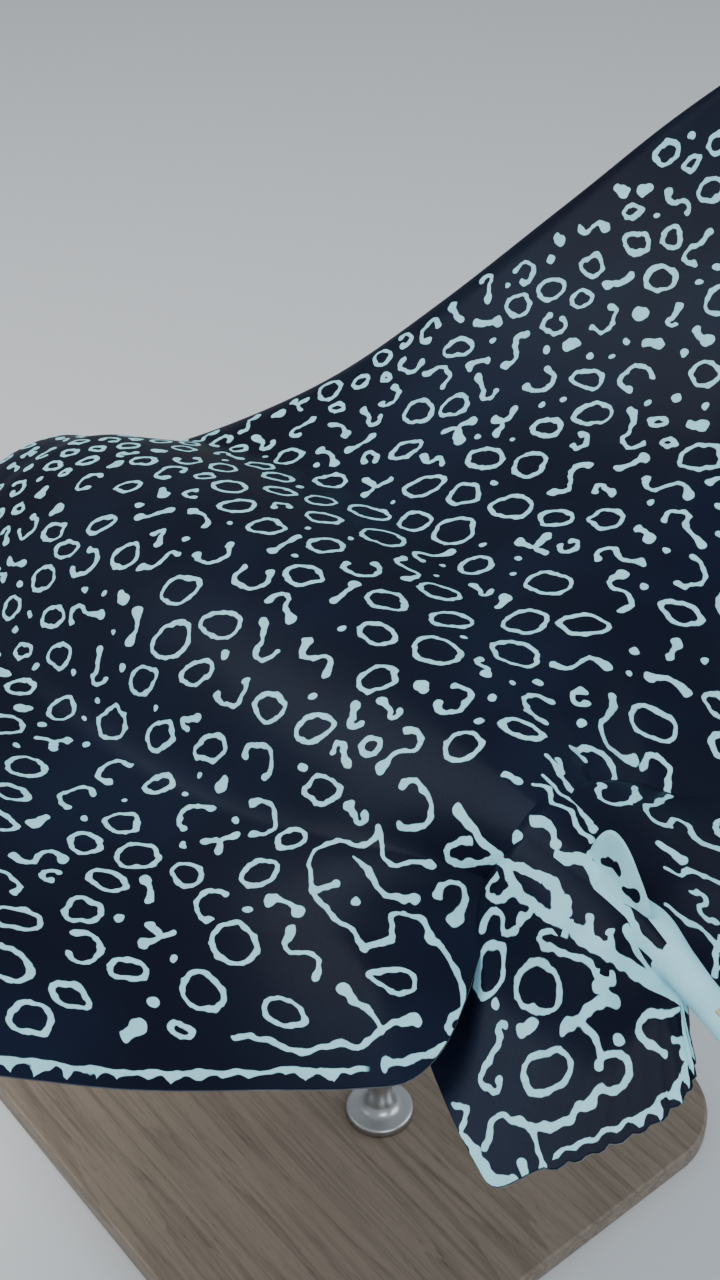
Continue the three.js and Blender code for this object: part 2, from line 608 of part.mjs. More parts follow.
const skinMaterial = new THREE.MeshStandardMaterial({ color: 0x16203c, roughness: 0.5, metalness: 0 });
const eyeMaterial = new THREE.MeshStandardMaterial({ color: 0x101418, roughness: 0.08, metalness: 0 });
const stingMaterial = new THREE.MeshStandardMaterial({ color: 0xcfc3a2, roughness: 0.45, metalness: 0 });
const steelMaterial = new THREE.MeshStandardMaterial({ color: 0xb4b8bc, roughness: 0.32, metalness: 1 });
const oakMaterial = new THREE.MeshStandardMaterial({ color: 0x8a7660, roughness: 0.6, metalness: 0 });

/** A named mesh of a solid. */
function piece(name, solid, material) {
  const mesh = new THREE.Mesh(toGeometry(solid), material);
  mesh.name = name;
  return mesh;
}

// The level animal is turned about its pivot by two nested groups.
const animal = new THREE.Group();
animal.position.set(0, -mm(PIVOT_ALONG), 0);
for (const [name, solid] of Object.entries(flesh)) animal.add(piece(name, solid, skinMaterial));
animal.add(piece('eye_left', eyeball(1), eyeMaterial));
animal.add(piece('eye_right', eyeball(-1), eyeMaterial));
animal.add(piece('sting', outerShell(sting().subtract(clearance)), stingMaterial));

const held = new THREE.Group();
held.rotation.set(NOSE_DOWN, BANK, 0, 'XYZ');
held.position.set(0, 0, PIVOT_HEIGHT);
held.add(animal);

const model = new THREE.Group();
model.add(held);
model.updateMatrixWorld(true);

// ---- The stand: a flat base and two rods that reach the belly ---------------------------------------
/** A rounded rectangular plate with a small chamfer round its upper and lower edges. */
function standBase() {
  const [w, l, r] = [STAND.width / 2 - STAND.edge, STAND.length / 2 - STAND.edge, STAND.corner];
  const outline = new THREE.Shape();
  outline.moveTo(-w + r, -l);
  outline.lineTo(w - r, -l);
  outline.absarc(w - r, -l + r, r, -Math.PI / 2, 0, false);
  outline.absarc(w - r, l - r, r, 0, Math.PI / 2, false);
  outline.absarc(-w + r, l - r, r, Math.PI / 2, Math.PI, false);
  outline.absarc(-w + r, -l + r, r, Math.PI, 1.5 * Math.PI, false);
  const geometry = new THREE.ExtrudeGeometry(outline, {
    depth: STAND.thickness - 2 * STAND.edge, curveSegments: 6, bevelEnabled: true, bevelSegments: 1,
    bevelSize: STAND.edge, bevelThickness: STAND.edge,
  });
  geometry.translate(0, 0, STAND.edge);
  return toSolid(geometry);
}

/** A rod with a flared foot, turned about its own axis and cut to the belly above it. */
function standRod(along, belly) {
  const { rodRadius, footRadius, footHeight } = STAND;
  const top = PIVOT_HEIGHT + 60;
  const profile = [
    [0, 0], [footRadius, 0], [footRadius, footHeight - 3], [footRadius - 3, footHeight],
    [rodRadius + 5, footHeight + 2], [rodRadius, footHeight + 8], [rodRadius, top], [0, top],
  ].map(([radius, height]) => new THREE.Vector2(radius, height));
  const geometry = new THREE.LatheGeometry(profile, 20);
  geometry.rotateX(Math.PI / 2);
  geometry.translate(0, mm(along - PIVOT_ALONG), STAND.thickness + GAP);
  return toSolid(geometry).subtract(belly).decompose()
    .sort((a, b) => a.boundingBox().min[2] - b.boundingBox().min[2])[0];
}

const belly = clearance.transform(animal.matrixWorld.elements);
model.add(piece('stand_base', standBase(), oakMaterial));
model.add(piece('stand_rod_front', standRod(STAND.rodsAlong[0], belly), steelMaterial));
model.add(piece('stand_rod_rear', standRod(STAND.rodsAlong[1], belly), steelMaterial));

export default model;
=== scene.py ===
"""A spotted eagle ray at life size, gliding in a banked turn over a display stand.

Metres, +Z up, the snout towards -Y and the animal's left towards +X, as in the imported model.
The animal is worked out level, in shares of its disc width, then turned into its pose:
"across" is the distance from the midline along the curve of a wing, "along" the distance
behind the snout's tip and "up" the height.
"""

import bpy
import numpy as np
from mathutils import Matrix, Vector


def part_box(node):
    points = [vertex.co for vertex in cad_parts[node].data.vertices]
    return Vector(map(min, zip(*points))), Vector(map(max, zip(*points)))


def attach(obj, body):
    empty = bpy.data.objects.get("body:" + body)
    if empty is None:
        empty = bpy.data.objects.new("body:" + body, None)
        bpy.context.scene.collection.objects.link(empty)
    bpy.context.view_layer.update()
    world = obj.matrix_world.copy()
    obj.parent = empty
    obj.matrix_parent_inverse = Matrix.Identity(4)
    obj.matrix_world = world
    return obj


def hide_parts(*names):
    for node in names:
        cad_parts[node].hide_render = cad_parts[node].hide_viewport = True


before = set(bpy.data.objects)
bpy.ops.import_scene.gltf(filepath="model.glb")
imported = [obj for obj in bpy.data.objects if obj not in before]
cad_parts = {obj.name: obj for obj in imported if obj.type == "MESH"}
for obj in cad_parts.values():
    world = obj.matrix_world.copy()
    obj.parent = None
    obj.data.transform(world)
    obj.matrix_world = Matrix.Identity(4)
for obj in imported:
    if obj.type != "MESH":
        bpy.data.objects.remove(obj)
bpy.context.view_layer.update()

# ---- The view and the studio -----------------------------------------------------------------------
# The animal is seen from above and behind its left hip, so near that the snout and the wing tips are
# out of the picture. It stands on a pale floor that sweeps up into a pale wall, in soft light.

EYE_POINT = Vector((0.7910, 1.0836, 1.5500))
LOOKING = Vector((-0.50842, -0.62500, -0.59235))
camera = bpy.data.objects.new("camera", bpy.data.cameras.new("camera"))
camera.data.lens = 49.9
camera.data.sensor_width = 36.0
camera.data.clip_end = 60.0
camera.location = EYE_POINT
camera.rotation_euler = LOOKING.to_track_quat("-Z", "Y").to_euler()
bpy.context.scene.collection.objects.link(camera)
bpy.context.scene.camera = camera


def new_object(name, vertices, faces, smooth=True):
    """A mesh object from an array of places and one or more arrays of corner numbers."""
    mesh = bpy.data.meshes.new(name)
    mesh.from_pydata(vertices, [], [face for block in faces for face in block.tolist()])
    mesh.shade_smooth() if smooth else mesh.shade_flat()
    obj = bpy.data.objects.new(name, mesh)
    bpy.context.scene.collection.objects.link(obj)
    return obj


def new_material(name):
    """An empty material and its Principled shader, already joined to the output."""
    material = bpy.data.materials.new(name)
    material.use_nodes = True
    return material, material.node_tree, material.node_tree.nodes["Principled BSDF"]


def quads_of(numbers, turned):
    """Quads between neighbours of a grid of vertex numbers; a body's back faces up unless turned."""
    quads = np.stack([numbers[:-1, :-1], numbers[1:, :-1], numbers[1:, 1:], numbers[:-1, 1:]], -1)
    quads = quads.reshape(-1, 4)
    return quads[:, ::-1] if turned else quads


FLOOR_HALF = 14.0
SWEEP_RADIUS = 3.0
SWEEP_STEPS = 24
STUDIO_PAPER = (0.72, 0.74, 0.76, 1)
STUDIO_AIR = (0.80, 0.86, 0.92, 1)
MIDDLE = (0.0, 0.2, 0.5)  # of the animal, where the lights aim


def studio_floor():
    """A flat sheet carried sideways whose far edge turns up through a quarter circle."""
    turn = np.linspace(0, np.pi / 2, SWEEP_STEPS)
    back = -FLOOR_HALF - SWEEP_RADIUS
    away = np.concatenate([[FLOOR_HALF], -FLOOR_HALF - SWEEP_RADIUS * np.sin(turn), [back]])[:, None]
    height = np.concatenate([[0], SWEEP_RADIUS * (1 - np.cos(turn)), [FLOOR_HALF]])[:, None]
    sideways = np.array([[-2, 2]]) * FLOOR_HALF
    places = np.stack(np.broadcast_arrays(sideways, away, height), -1).reshape(-1, 3)
    floor = new_object("studio_floor", places, [quads_of(np.arange(len(places)).reshape(-1, 2), True)])
    material, _, shader = new_material("pale studio paper")
    shader.inputs["Base Color"].default_value = STUDIO_PAPER
    shader.inputs["Roughness"].default_value = 0.9
    floor.data.materials.append(material)
    return floor


def soft_light(name, place, aim, size, watts, colour):
    """A square area light that faces the aim."""
    lamp = bpy.data.objects.new(name, bpy.data.lights.new(name, "AREA"))
    lamp.data.size = size
    lamp.data.energy = watts
    lamp.data.color = colour
    lamp.location = place
    lamp.rotation_euler = (Vector(aim) - Vector(place)).to_track_quat("-Z", "Y").to_euler()
    lamp.visible_camera = False
    bpy.context.scene.collection.objects.link(lamp)


studio_floor()
soft_light("key light", (1.6, -1.2, 3.6), MIDDLE, 2.4, 120, (1.0, 0.98, 0.95))
soft_light("fill light", (-2.8, 2.2, 2.4), MIDDLE, 2.6, 45, (0.86, 0.93, 1.0))
soft_light("rear light", (1.0, 3.6, 2.6), MIDDLE, 2.2, 40, (0.9, 0.95, 1.0))
world = bpy.data.worlds.new("studio air")
world.use_nodes = True
air = world.node_tree.nodes["Background"]
air.inputs["Color"].default_value = STUDIO_AIR
air.inputs["Strength"].default_value = 0.55
bpy.context.scene.world = world

# ---- The skin: head, trunk, wings and tail ---------------------------------------------------------
# One closed skin covers the flesh. Each quarter of it, left or right and above or below, is two grids:
# lines down the body from snout to tail tip, and lines over the wing from leading to trailing edge.
# The outermost line of the body is the first of the wing.

DISC_WIDTH = 1.70
RIM = 0.0006  # least half thickness of a margin
PIVOT_ALONG = 0.36
PIVOT_HEIGHT = 0.520
BANK = np.radians(17)
NOSE_DOWN = np.radians(5.5)

FRONT_OUTLINE = [
    (0, 0), (0.020, 0.002), (0.034, 0.013), (0.040, 0.030), (0.044, 0.048), (0.055, 0.066),
    (0.063, 0.085), (0.067, 0.102), (0.086, 0.127), (0.125, 0.161), (0.185, 0.207), (0.255, 0.247),
    (0.330, 0.290), (0.400, 0.336), (0.455, 0.383), (0.487, 0.418), (0.500, 0.445),
]
REAR_OUTLINE = [
    (0, 0.575), (0.0335, 0.575), (0.059, 0.585), (0.081, 0.598), (0.104, 0.608), (0.127, 0.608),
    (0.149, 0.593), (0.185, 0.566), (0.240, 0.534), (0.305, 0.494), (0.372, 0.466), (0.430, 0.453),
    (0.475, 0.448), (0.500, 0.445),
]
WING_JOINS_HEAD = 0.102  # along, where the leading edge leaves the side of the head
TAIL_ROOT = 0.575  # along, where the trailing outline leaves the side of the tail

# Sections: along, half width, height above and depth below the centre, the centre's height, and the
# power that shapes the section (0.5 is an ellipse, 1 a parabola).
BODY_STATIONS = np.array([
    (0.000, 0.0000, 0.0015, 0.0015, -0.0160, 0.50), (0.003, 0.0225, 0.0045, 0.0045, -0.0160, 0.50),
    (0.010, 0.0260, 0.0080, 0.0070, -0.0160, 0.50), (0.025, 0.0380, 0.0100, 0.0080, -0.0160, 0.50),
    (0.040, 0.0420, 0.0160, 0.0120, -0.0150, 0.48), (0.055, 0.0490, 0.0330, 0.0190, -0.0110, 0.46),
    (0.072, 0.0580, 0.0470, 0.0270, -0.0060, 0.44), (0.090, 0.0650, 0.0530, 0.0330, -0.0020, 0.44),
    (0.120, 0.0780, 0.0570, 0.0370, 0.0000, 0.50), (0.180, 0.1000, 0.0640, 0.0410, 0.0000, 0.65),
    (0.260, 0.1180, 0.0690, 0.0430, 0.0000, 0.80), (0.340, 0.1200, 0.0680, 0.0410, 0.0000, 0.85),
    (0.420, 0.1060, 0.0590, 0.0350, 0.0010, 0.80), (0.500, 0.0760, 0.0440, 0.0270, 0.0053, 0.65),
    (0.550, 0.0470, 0.0310, 0.0212, 0.0108, 0.54), (0.575, 0.0335, 0.0252, 0.0190, 0.0122, 0.50),
    (0.600, 0.0262, 0.0195, 0.0172, 0.0118, 0.50), (0.625, 0.0185, 0.0150, 0.0140, 0.0095, 0.50),
    (0.650, 0.0120, 0.0112, 0.0105, 0.0065, 0.50), (0.672, 0.0086, 0.0085, 0.0082, 0.0035, 0.50),
    (0.700, 0.0077, 0.0075, 0.0075, 0.0000, 0.50), (0.800, 0.0070, 0.0066, 0.0066, -0.0100, 0.50),
    (0.950, 0.0062, 0.0058, 0.0058, -0.0300, 0.50), (1.200, 0.0052, 0.0049, 0.0049, -0.0600, 0.50),
    (1.500, 0.0041, 0.0040, 0.0040, -0.0850, 0.50),
    (1.800, 0.0031, 0.0030, 0.0030, -0.1000, 0.50), (2.100, 0.0020, 0.0019, 0.0019, -0.1050, 0.50),
    (2.300, 0.0010, 0.0009, 0.0009, -0.1000, 0.50),
])
TAIL_SWING = np.array([
    (0.560, 0.000), (0.600, 0.002), (0.645, 0.009), (0.692, 0.020), (0.800, 0.045), (0.950, 0.070),
    (1.200, 0.075), (1.500, 0.040), (1.800, -0.020), (2.100, -0.060), (2.300, -0.070),
])
TAIL_TIP = 2.29
WING_THICKNESS = np.array([
    (0, 0.030), (0.08, 0.026), (0.15, 0.020), (0.25, 0.0125), (0.35, 0.0075), (0.45, 0.0038),
    (0.50, 0.0024),
])
UNDERSIDE_SHARE = 0.75
FAIRING_POWER = 3.2
LEADING_ROUND = (1.3, 0.004)  # over which a wing reaches its thickness: of the thickness, and more
TRAILING_TAPER = (0.10, 0.012)  # over which it falls to the trailing edge at the body, and at its tip
WING_RISES = (0.098, 0.03)  # where the wing's thickness starts, and over what length

# Each wing turns upwards through "lift" between two distances across, then by "curl" to its tip;
# "twist" lowers its trailing edge and "droop" its rear corner. The sides are 1, the animal's left,
# and -1, its right. The starts and lengths of these bends are the same on both.
WINGS = {
    1: {"lift": 0.65, "from": 0.035, "to": 0.22, "curl": -0.37, "twist": -0.375, "droop": 0.0},
    -1: {"lift": 0.76, "from": 0.035, "to": 0.463, "curl": 0.14, "twist": -0.19, "droop": 0.026},
}
CURL_ACROSS = (0.25, 0.27)
TWIST_ACROSS, TWIST_AXIS = (0.05, 0.3), 0.4
DROOP_ACROSS, DROOP_ALONG = (0.03, 0.08), (0.47, 0.13)


def smooth_step(x):
    """Cubic ease from 0 to 1."""
    x = np.clip(x, 0, 1)
    return x * x * (3 - 2 * x)


def ease(x, span):
    """Cubic ease from 0 to 1 over a span, given by its start and its length."""
    return smooth_step((x - span[0]) / span[1])


def through_stations(table, column, x):
    """Cubic pieces through a table's rows, whose slopes are those between each row's neighbours."""
    xs, ys = table[:, 0], table[:, column]
    slopes = np.empty(len(xs))
    slopes[1:-1] = (ys[2:] - ys[:-2]) / (xs[2:] - xs[:-2])
    slopes[0] = (ys[1] - ys[0]) / (xs[1] - xs[0])
    slopes[-1] = (ys[-1] - ys[-2]) / (xs[-1] - xs[-2])
    x = np.clip(x, xs[0], xs[-1])
    i = np.clip(np.searchsorted(xs, x, side="right") - 1, 0, len(xs) - 2)
    span = xs[i + 1] - xs[i]
    t = (x - xs[i]) / span
    return (ys[i] * (1 + 2 * t) * (1 - t) ** 2 + slopes[i] * span * t * (1 - t) ** 2
            + ys[i + 1] * t * t * (3 - 2 * t) + slopes[i + 1] * span * t * t * (t - 1))


CURVE_STEPS = 60  # from each point to the next


def even_points(points, count):
    """Points at even steps along a Catmull-Rom curve through the given ones."""
    p = np.array(points, float)
    p = np.vstack([2 * p[0] - p[1], p, 2 * p[-1] - p[-2]])
    t = np.linspace(0, 1, CURVE_STEPS, endpoint=False)[None, :, None]
    a, b, c, d = (p[k:len(p) - 3 + k][:, None, :] for k in range(4))
    curve = 0.5 * (2 * b + (c - a) * t + (2 * a - 5 * b + 4 * c - d) * t ** 2
                   + (3 * b - a - 3 * c + d) * t ** 3)
    curve = np.vstack([curve.reshape(-1, p.shape[1]), p[-2]])
    run = np.concatenate([[0], np.cumsum(np.linalg.norm(np.diff(curve, axis=0), axis=1))])
    wanted = np.linspace(0, run[-1], count)
    return np.stack([np.interp(wanted, run, curve[:, k]) for k in range(p.shape[1])], -1)


def nearest_on_line(line, across, along):
    """The shortest distance to a run of points in plan, and how far along it the nearest one lies."""
    best = np.full(np.shape(across), np.inf)
    run_at = np.zeros(np.shape(across))
    run = 0.0
    for (x0, y0), (x1, y1) in zip(line[:-1], line[1:]):
        dx, dy = x1 - x0, y1 - y0
        length = np.hypot(dx, dy)
        t = np.clip(((across - x0) * dx + (along - y0) * dy) / length ** 2, 0, 1)
        gap = np.hypot(across - x0 - t * dx, along - y0 - t * dy)
        run_at = np.where(gap < best, run + t * length, run_at)
        best = np.minimum(gap, best)
        run += length
    return best, run_at


OUTLINE_POINTS = 1200
front_line = even_points(FRONT_OUTLINE, OUTLINE_POINTS)
rear_line = even_points(REAR_OUTLINE, OUTLINE_POINTS)
wing_front = front_line[front_line[:, 1] >= WING_JOINS_HEAD]
wing_rear = rear_line[(rear_line[:, 1] > TAIL_ROOT) | (rear_line[:, 0] > 0.1)]
leading_edge, trailing_edge = wing_front[::8], wing_rear[::8]
HALF_WIDTH, ABOVE, BELOW, CENTRE, POWER = range(1, 6)


def body_value(column, along):
    """One column of the stations, smoothly between them."""
    return through_stations(BODY_STATIONS, column, along)


def tail_swing(along):
    """How far the tail's middle swings to the left."""
    return through_stations(TAIL_SWING, 1, along)


def body_half_width(along):
    """Half width of the body: the outline itself as far as the wings, then the stations."""
    share = ease(along, (WING_JOINS_HEAD, 0.03))
    outline = np.interp(along, front_line[:, 1], front_line[:, 0])
    return outline * (1 - share) + body_value(HALF_WIDTH, along) * share


def heights_at(across, along, share):
    """Heights of the upper and lower surface: the body's section and the wing's foil in a power mean.

    The section falls as (1 - share^2)^power, where share is how far out of the body's half width the
    place lies. The foil rises from the leading edge as a quarter circle and from the trailing edge as
    a parabola. Far from the body both faces lie about the height 0."""
    section = (1 - share ** 2) ** body_value(POWER, along)
    half = body_half_width(along)
    thickness = np.interp(across, WING_THICKNESS[:, 0], WING_THICKNESS[:, 1])
    nose = nearest_on_line(leading_edge, across, along)[0] / (LEADING_ROUND[0] * thickness + LEADING_ROUND[1])
    taper = TRAILING_TAPER[0] * (1 - across / 0.5) + TRAILING_TAPER[1]
    tail = nearest_on_line(trailing_edge, across, along)[0] / taper
    nose, tail = np.clip(nose, 0, 1), np.clip(tail, 0, 1)
    foil = thickness * np.sqrt(1 - (1 - nose) ** 2) * (1 - (1 - tail) ** 2)
    foil = foil * ease(along, WING_RISES)
    foil = np.where((along <= TAIL_ROOT) | (across > half + 1e-9), foil, 0)

    def join(a, b):
        return (a ** FAIRING_POWER + b ** FAIRING_POWER) ** (1 / FAIRING_POWER)

    above = join(body_value(ABOVE, along) * section, foil) + RIM
    below = join(body_value(BELOW, along) * section, UNDERSIDE_SHARE * foil) + RIM
    middle = body_value(CENTRE, along) * (1 - smooth_step((across - half) / np.maximum(half, 0.02)))
    return middle + above, middle - below


def bent(side, across, along, height):
    """Plan place and height to the level animal, in shares: the wing's arc, its curl and its twist."""
    wing = WINGS[side]
    steps = np.linspace(0, 0.52, 261)
    angle = (wing["lift"] * ease(steps, (wing["from"], wing["to"] - wing["from"]))
             + wing["curl"] * ease(steps, CURL_ACROSS))
    mean = (angle[1:] + angle[:-1]) / 2
    out = np.concatenate([[0], np.cumsum(np.cos(mean) * np.diff(steps))])
    up = np.concatenate([[0], np.cumsum(np.sin(mean) * np.diff(steps))])
    turn = np.interp(across, steps, angle)
    drop = wing["twist"] * ease(across, TWIST_ACROSS) * (along - TWIST_AXIS)
    drop = drop - wing["droop"] * ease(along, DROOP_ALONG) * ease(across, DROOP_ACROSS)
    sideways = side * (np.interp(across, steps, out) - np.sin(turn) * height)
    return np.stack([sideways + tail_swing(along), along,
                     np.interp(across, steps, up) + drop + np.cos(turn) * height], -1)


def posed(level):
    """The level animal's places, in shares, to the world: bank and nose-down about the pivot."""
    turn = np.array(Matrix.Rotation(NOSE_DOWN, 3, "X") @ Matrix.Rotation(BANK, 3, "Y"))
    pivot = np.array([0, PIVOT_ALONG, 0])
    return (level - pivot) * DISC_WIDTH @ turn.T + np.array([0, 0, PIVOT_HEIGHT])


BODY_LINES = {"above": 36, "below": 26}  # from the midline to the side of the body
WING_LINES = 104  # from the side of the body to the wing tip
HEAD_ROWS, TAIL_ROWS = 80, 56
WING_ROWS = {"above": 128, "below": 96}
HEAD_CLOSING, TAIL_SPREADING = 1.35, 1.8  # powers of the rows' steps to the snout and down the tail
FRONT_END, REAR_END = 0.14, 0.06  # shares of a row over which its steps close up


def row_share(t):
    """Even steps in the middle of a row, closing up towards both outlines as a parabola does."""
    slope = 1 / (1 - FRONT_END / 2 - REAR_END / 2)
    rear = 1 - slope * (1 - t) ** 2 / (2 * REAR_END)
    middle = np.where(t < 1 - REAR_END, slope * (t - FRONT_END / 2), rear)
    return np.where(t < FRONT_END, slope * t * t / (2 * FRONT_END), middle)


def wing_plan(w):
    """Plan places on straight lines from the front outline to the rear one, at shares w of their length.

    The first line follows the side of the body, and its bulge fades out over the next ones."""
    part = np.arange(WING_LINES + 1) / WING_LINES
    front, rear = (line[np.round(part * (len(line) - 1)).astype(int)][:, None, :]
                   for line in (wing_front, wing_rear))
    front[0, 0] = body_half_width(WING_JOINS_HEAD), WING_JOINS_HEAD
    rear[0, 0] = body_half_width(TAIL_ROOT), TAIL_ROOT
    plan = front * (1 - w[None, :, None]) + rear * w[None, :, None]
    bulge = body_half_width(plan[0, :, 1]) - plan[0, :, 0]
    plan[:, :, 0] += bulge * (1 - smooth_step(part / 0.6))[:, None]
    return plan[:, :, 0], plan[:, :, 1]


# Every vertex of the skin holds what its colours need: its place round and along; how far it is from
# the trailing margin, where along that, and how far from the leading one; if it is underneath; its
# side; its place across and along in plan; its share of the half width; and how deep in shadow it is.
def skin_fields(level, place, trailing=(0.5, 0.0), leading=0.5, under=0.0, side=1.0, across=0.0, along=0.0,
                share=1.0, hollow=0.0):
    """What the skin holds, each given for all its vertices at once or one by one."""
    count = len(level)
    fields = {"level": level}
    for name, pair in (("place", place), ("trailing", trailing)):
        fields[name] = np.stack([np.broadcast_to(np.ravel(part), count) for part in pair], -1)
    for name, value in (("leading", leading), ("under", under), ("side", side), ("across", across),
                        ("along", along), ("share", share), ("hollow", hollow)):
        fields[name] = np.broadcast_to(np.ravel(value), count).astype(float)
    return fields


def stacked(parts):
    """What several pieces of skin hold, one after another."""
    return {name: np.concatenate([part[name] for part in parts]) for name in parts[0]}


def skin_quarter(side, face):
    """One quarter of the skin: what it holds, and the vertex numbers of its two grids."""
    w = row_share(np.arange(WING_ROWS[face] + 1) / WING_ROWS[face])
    alongs = np.concatenate([
        WING_JOINS_HEAD * (np.arange(HEAD_ROWS) / HEAD_ROWS) ** HEAD_CLOSING,
        WING_JOINS_HEAD + (TAIL_ROOT - WING_JOINS_HEAD) * w,
        TAIL_ROOT + (TAIL_TIP - TAIL_ROOT) * (np.arange(1, TAIL_ROWS + 1) / TAIL_ROWS) ** TAIL_SPREADING])
    shares = np.sin(np.linspace(0, np.pi / 2, BODY_LINES[face] + 1))
    share, along = np.meshgrid(shares, alongs, indexing="ij")
    across = share * body_half_width(along)
    body = np.arange(along.size).reshape(along.shape)
    wing = along.size + np.arange((WING_LINES - 1) * len(w)).reshape(-1, len(w))
    wing_across, wing_along = wing_plan(w)
    across = np.concatenate([across.ravel(), wing_across[1:-1].ravel(), [0.5]])
    along = np.concatenate([along.ravel(), wing_along[1:-1].ravel(), wing_along[-1, :1]])
    share = np.concatenate([share.ravel(), np.ones(len(across) - share.size)])
    height = heights_at(across, along, share)[0 if face == "above" else 1]

    # How far round the surface each place lies from the midline, at its own distance along.
    steps = np.hypot(np.diff(across[body], axis=0), np.diff(height[body], axis=0))
    body_round = np.concatenate([np.zeros((1, len(alongs))), np.cumsum(steps, axis=0)])
    wing_round = (np.interp(along[body.size:], alongs, body_round[-1])
                  + across[body.size:] - body_half_width(along[body.size:]))
    around = np.concatenate([body_round.ravel(), wing_round])

    tip = np.full((1, len(w)), len(across) - 1)
    wing = np.concatenate([body[-1:, HEAD_ROWS:HEAD_ROWS + len(w)], wing, tip])
    trailing = nearest_on_line(trailing_edge, across, along)
    leading = nearest_on_line(leading_edge, across, along)[0]
    fields = skin_fields(bent(side, across, along, height), (side * around, along), trailing, leading,
                         face == "below", side, across, along, share)
    return fields, body, wing


def join_quarters():
    """The four quarters as one set of places, attributes and quads, with the rim between the faces.

    The rim runs down the side of the head, out and back round the wing, and down the tail."""
    parts, quads = [], []
    first = 0
    for side in WINGS:
        rims = []
        for face in ("above", "below"):
            fields, body, wing = skin_quarter(side, face)
            body, wing = body + first, wing + first
            turned = (face == "above") != (side == 1)
            quads += [quads_of(body, turned), quads_of(wing, turned)]
            rims.append(np.concatenate([
                body[-1, :HEAD_ROWS], wing[:, 0], wing[::-1, -1], body[-1, HEAD_ROWS + wing.shape[1]:]]))
            parts.append(fields)
            first += len(fields["level"])
        quads.append(quads_of(np.stack(rims[::-1]).T, side != 1))
    return stacked(parts), np.concatenate(quads)


def weld(fields, quads, tolerance=1e-6):
    """Vertices at one place become one; quads that lose a corner become triangles."""
    rounded = np.round(fields["level"] / tolerance).astype(np.int64)
    _, kept, number = np.unique(rounded, axis=0, return_index=True, return_inverse=True)
    quads = number.reshape(-1)[quads]
    same = quads == np.roll(quads, -1, axis=1)
    narrowed = same.sum(1) == 1
    triangles = quads[narrowed][~same[narrowed]].reshape(-1, 3)
    return {name: values[kept] for name, values in fields.items()}, quads[~same.any(1)], triangles


skin, skin_quads = join_quarters()
# The tail's last row closes on its middle line.
last_row = skin["along"] >= TAIL_TIP - 1e-9
skin["level"][last_row] = np.stack([
    tail_swing(skin["along"][last_row]), skin["along"][last_row],
    body_value(CENTRE, skin["along"][last_row])], -1)
skin, skin_quads, skin_triangles = weld(skin, skin_quads)

# ---- The folds and openings of the head ------------------------------------------------------------
# Lids ring the eyes, and a soft rim each spiracle behind them. A ridge carries the bill on under the
# eye to the wing. Below lie the nostrils, the fringed nasal curtain, the mouth, five gill slits a side
# and the vent. All are folds of the same skin: closed welts laid along lines, their edges sunk in it.

# Places on the body are a turn, from 0 on the ridge of the back to pi on the belly's midline and
# negative on the animal's right, and a share along. Folds and openings are in millimetres.
EYE_PLACE = (1.305, 0.0683)
LID_RADII, LID_TILT = (12.2, 11.2), 0.12
SPIRACLE_PLACE = (1.04, 0.1085)
SPIRACLE_RADII, SPIRACLE_TILT, SPIRACLE_DEPTH = (24, 12.5), 0.16, 11
FACE_DEPTH = 20  # more than the skin curves within an opening, less than the body's thickness
NOSTRIL_PLACE = (np.pi - 0.40, 0.0465)
NOSTRIL_RADII, NOSTRIL_TILT = (6.0, 3.6), 0.5
VENT_PLACE, VENT_RADII = (np.pi, 0.554), (15, 3.6)
MOUTH_ALONG, MOUTH_TURN, MOUTH_BOW = 0.0585, 0.47, 0.0030
CURTAIN_ALONG, CURTAIN_TURN, CURTAIN_BOW = 0.0560, 0.40, 0.0025
CURTAIN_NOTCH = 0.0042
RIDGE_TURN, RIDGE_ALONG, RIDGE_STEPS = 1.515, (0.026, 0.1005), 48
GILLS_ALONG = (0.137, 0.217)  # the first and the last
GILLS_LEVEL = 0.17  # where one would lie straight across
GILL_SHARES = (0.56, 0.84)  # of the half width, from its inner to its outer end
GILL_BOW = 0.0028
MILLIMETRE = 0.001 / DISC_WIDTH
EDGES_SUNK = 0.0012 / DISC_WIDTH  # where a fold runs out into the skin

# Each profile runs over its fold from left to right and back beneath it, as rows of the distance to
# the right of the line, the height over the skin and how deep in shadow the corner lies.
LID_PROFILE = [
    (-2.6, 0.0, 0.6), (-2.5, 2.6, 0.5), (-1.7, 3.6, 0.1), (-0.2, 4.0, 0), (1.6, 3.5, 0), (3.0, 2.3, 0),
    (3.7, 1.4, 0.3), (4.5, 1.8, 0), (6.2, 1.4, 0), (8.5, 0.4, 0), (11, -1.5, 0), (11, -4, 0), (-2.6, -4, 0),
]
SPIRACLE_PROFILE = [
    (-4.5, -5.0, 1), (-3.2, -1.5, 1), (-1.8, 1.0, 0.8), (-0.4, 2.4, 0.1), (1.6, 2.6, 0), (4.0, 1.6, 0),
    (7.0, 0.3, 0), (9.5, -1.3, 0), (9.5, -3.5, 0), (2.0, -6.0, 0), (-4.5, -7.0, 0),
]
RIDGE_PROFILE = [
    (-9, -1.2, 0), (-6, 0.5, 0), (-3, 2.4, 0), (0, 3.2, 0), (3, 2.4, 0), (6, 0.5, 0), (9, -1.2, 0),
    (9, -3.5, 0), (-9, -3.5, 0),
]
GILL_PROFILE = [
    (-9, -1.2, 0), (-6, 0.5, 0), (-3, 2.1, 0), (-1, 3.1, 0), (0.2, 3.2, 0.1), (0.8, 2.2, 0.8), (0.6, 0.4, 1),
    (3.0, 0.4, 1), (3.4, 1.5, 0.6), (4.8, 2.0, 0), (6.8, 1.0, 0), (9, -1.2, 0), (9, -3, 0), (-9, -3, 0),
]
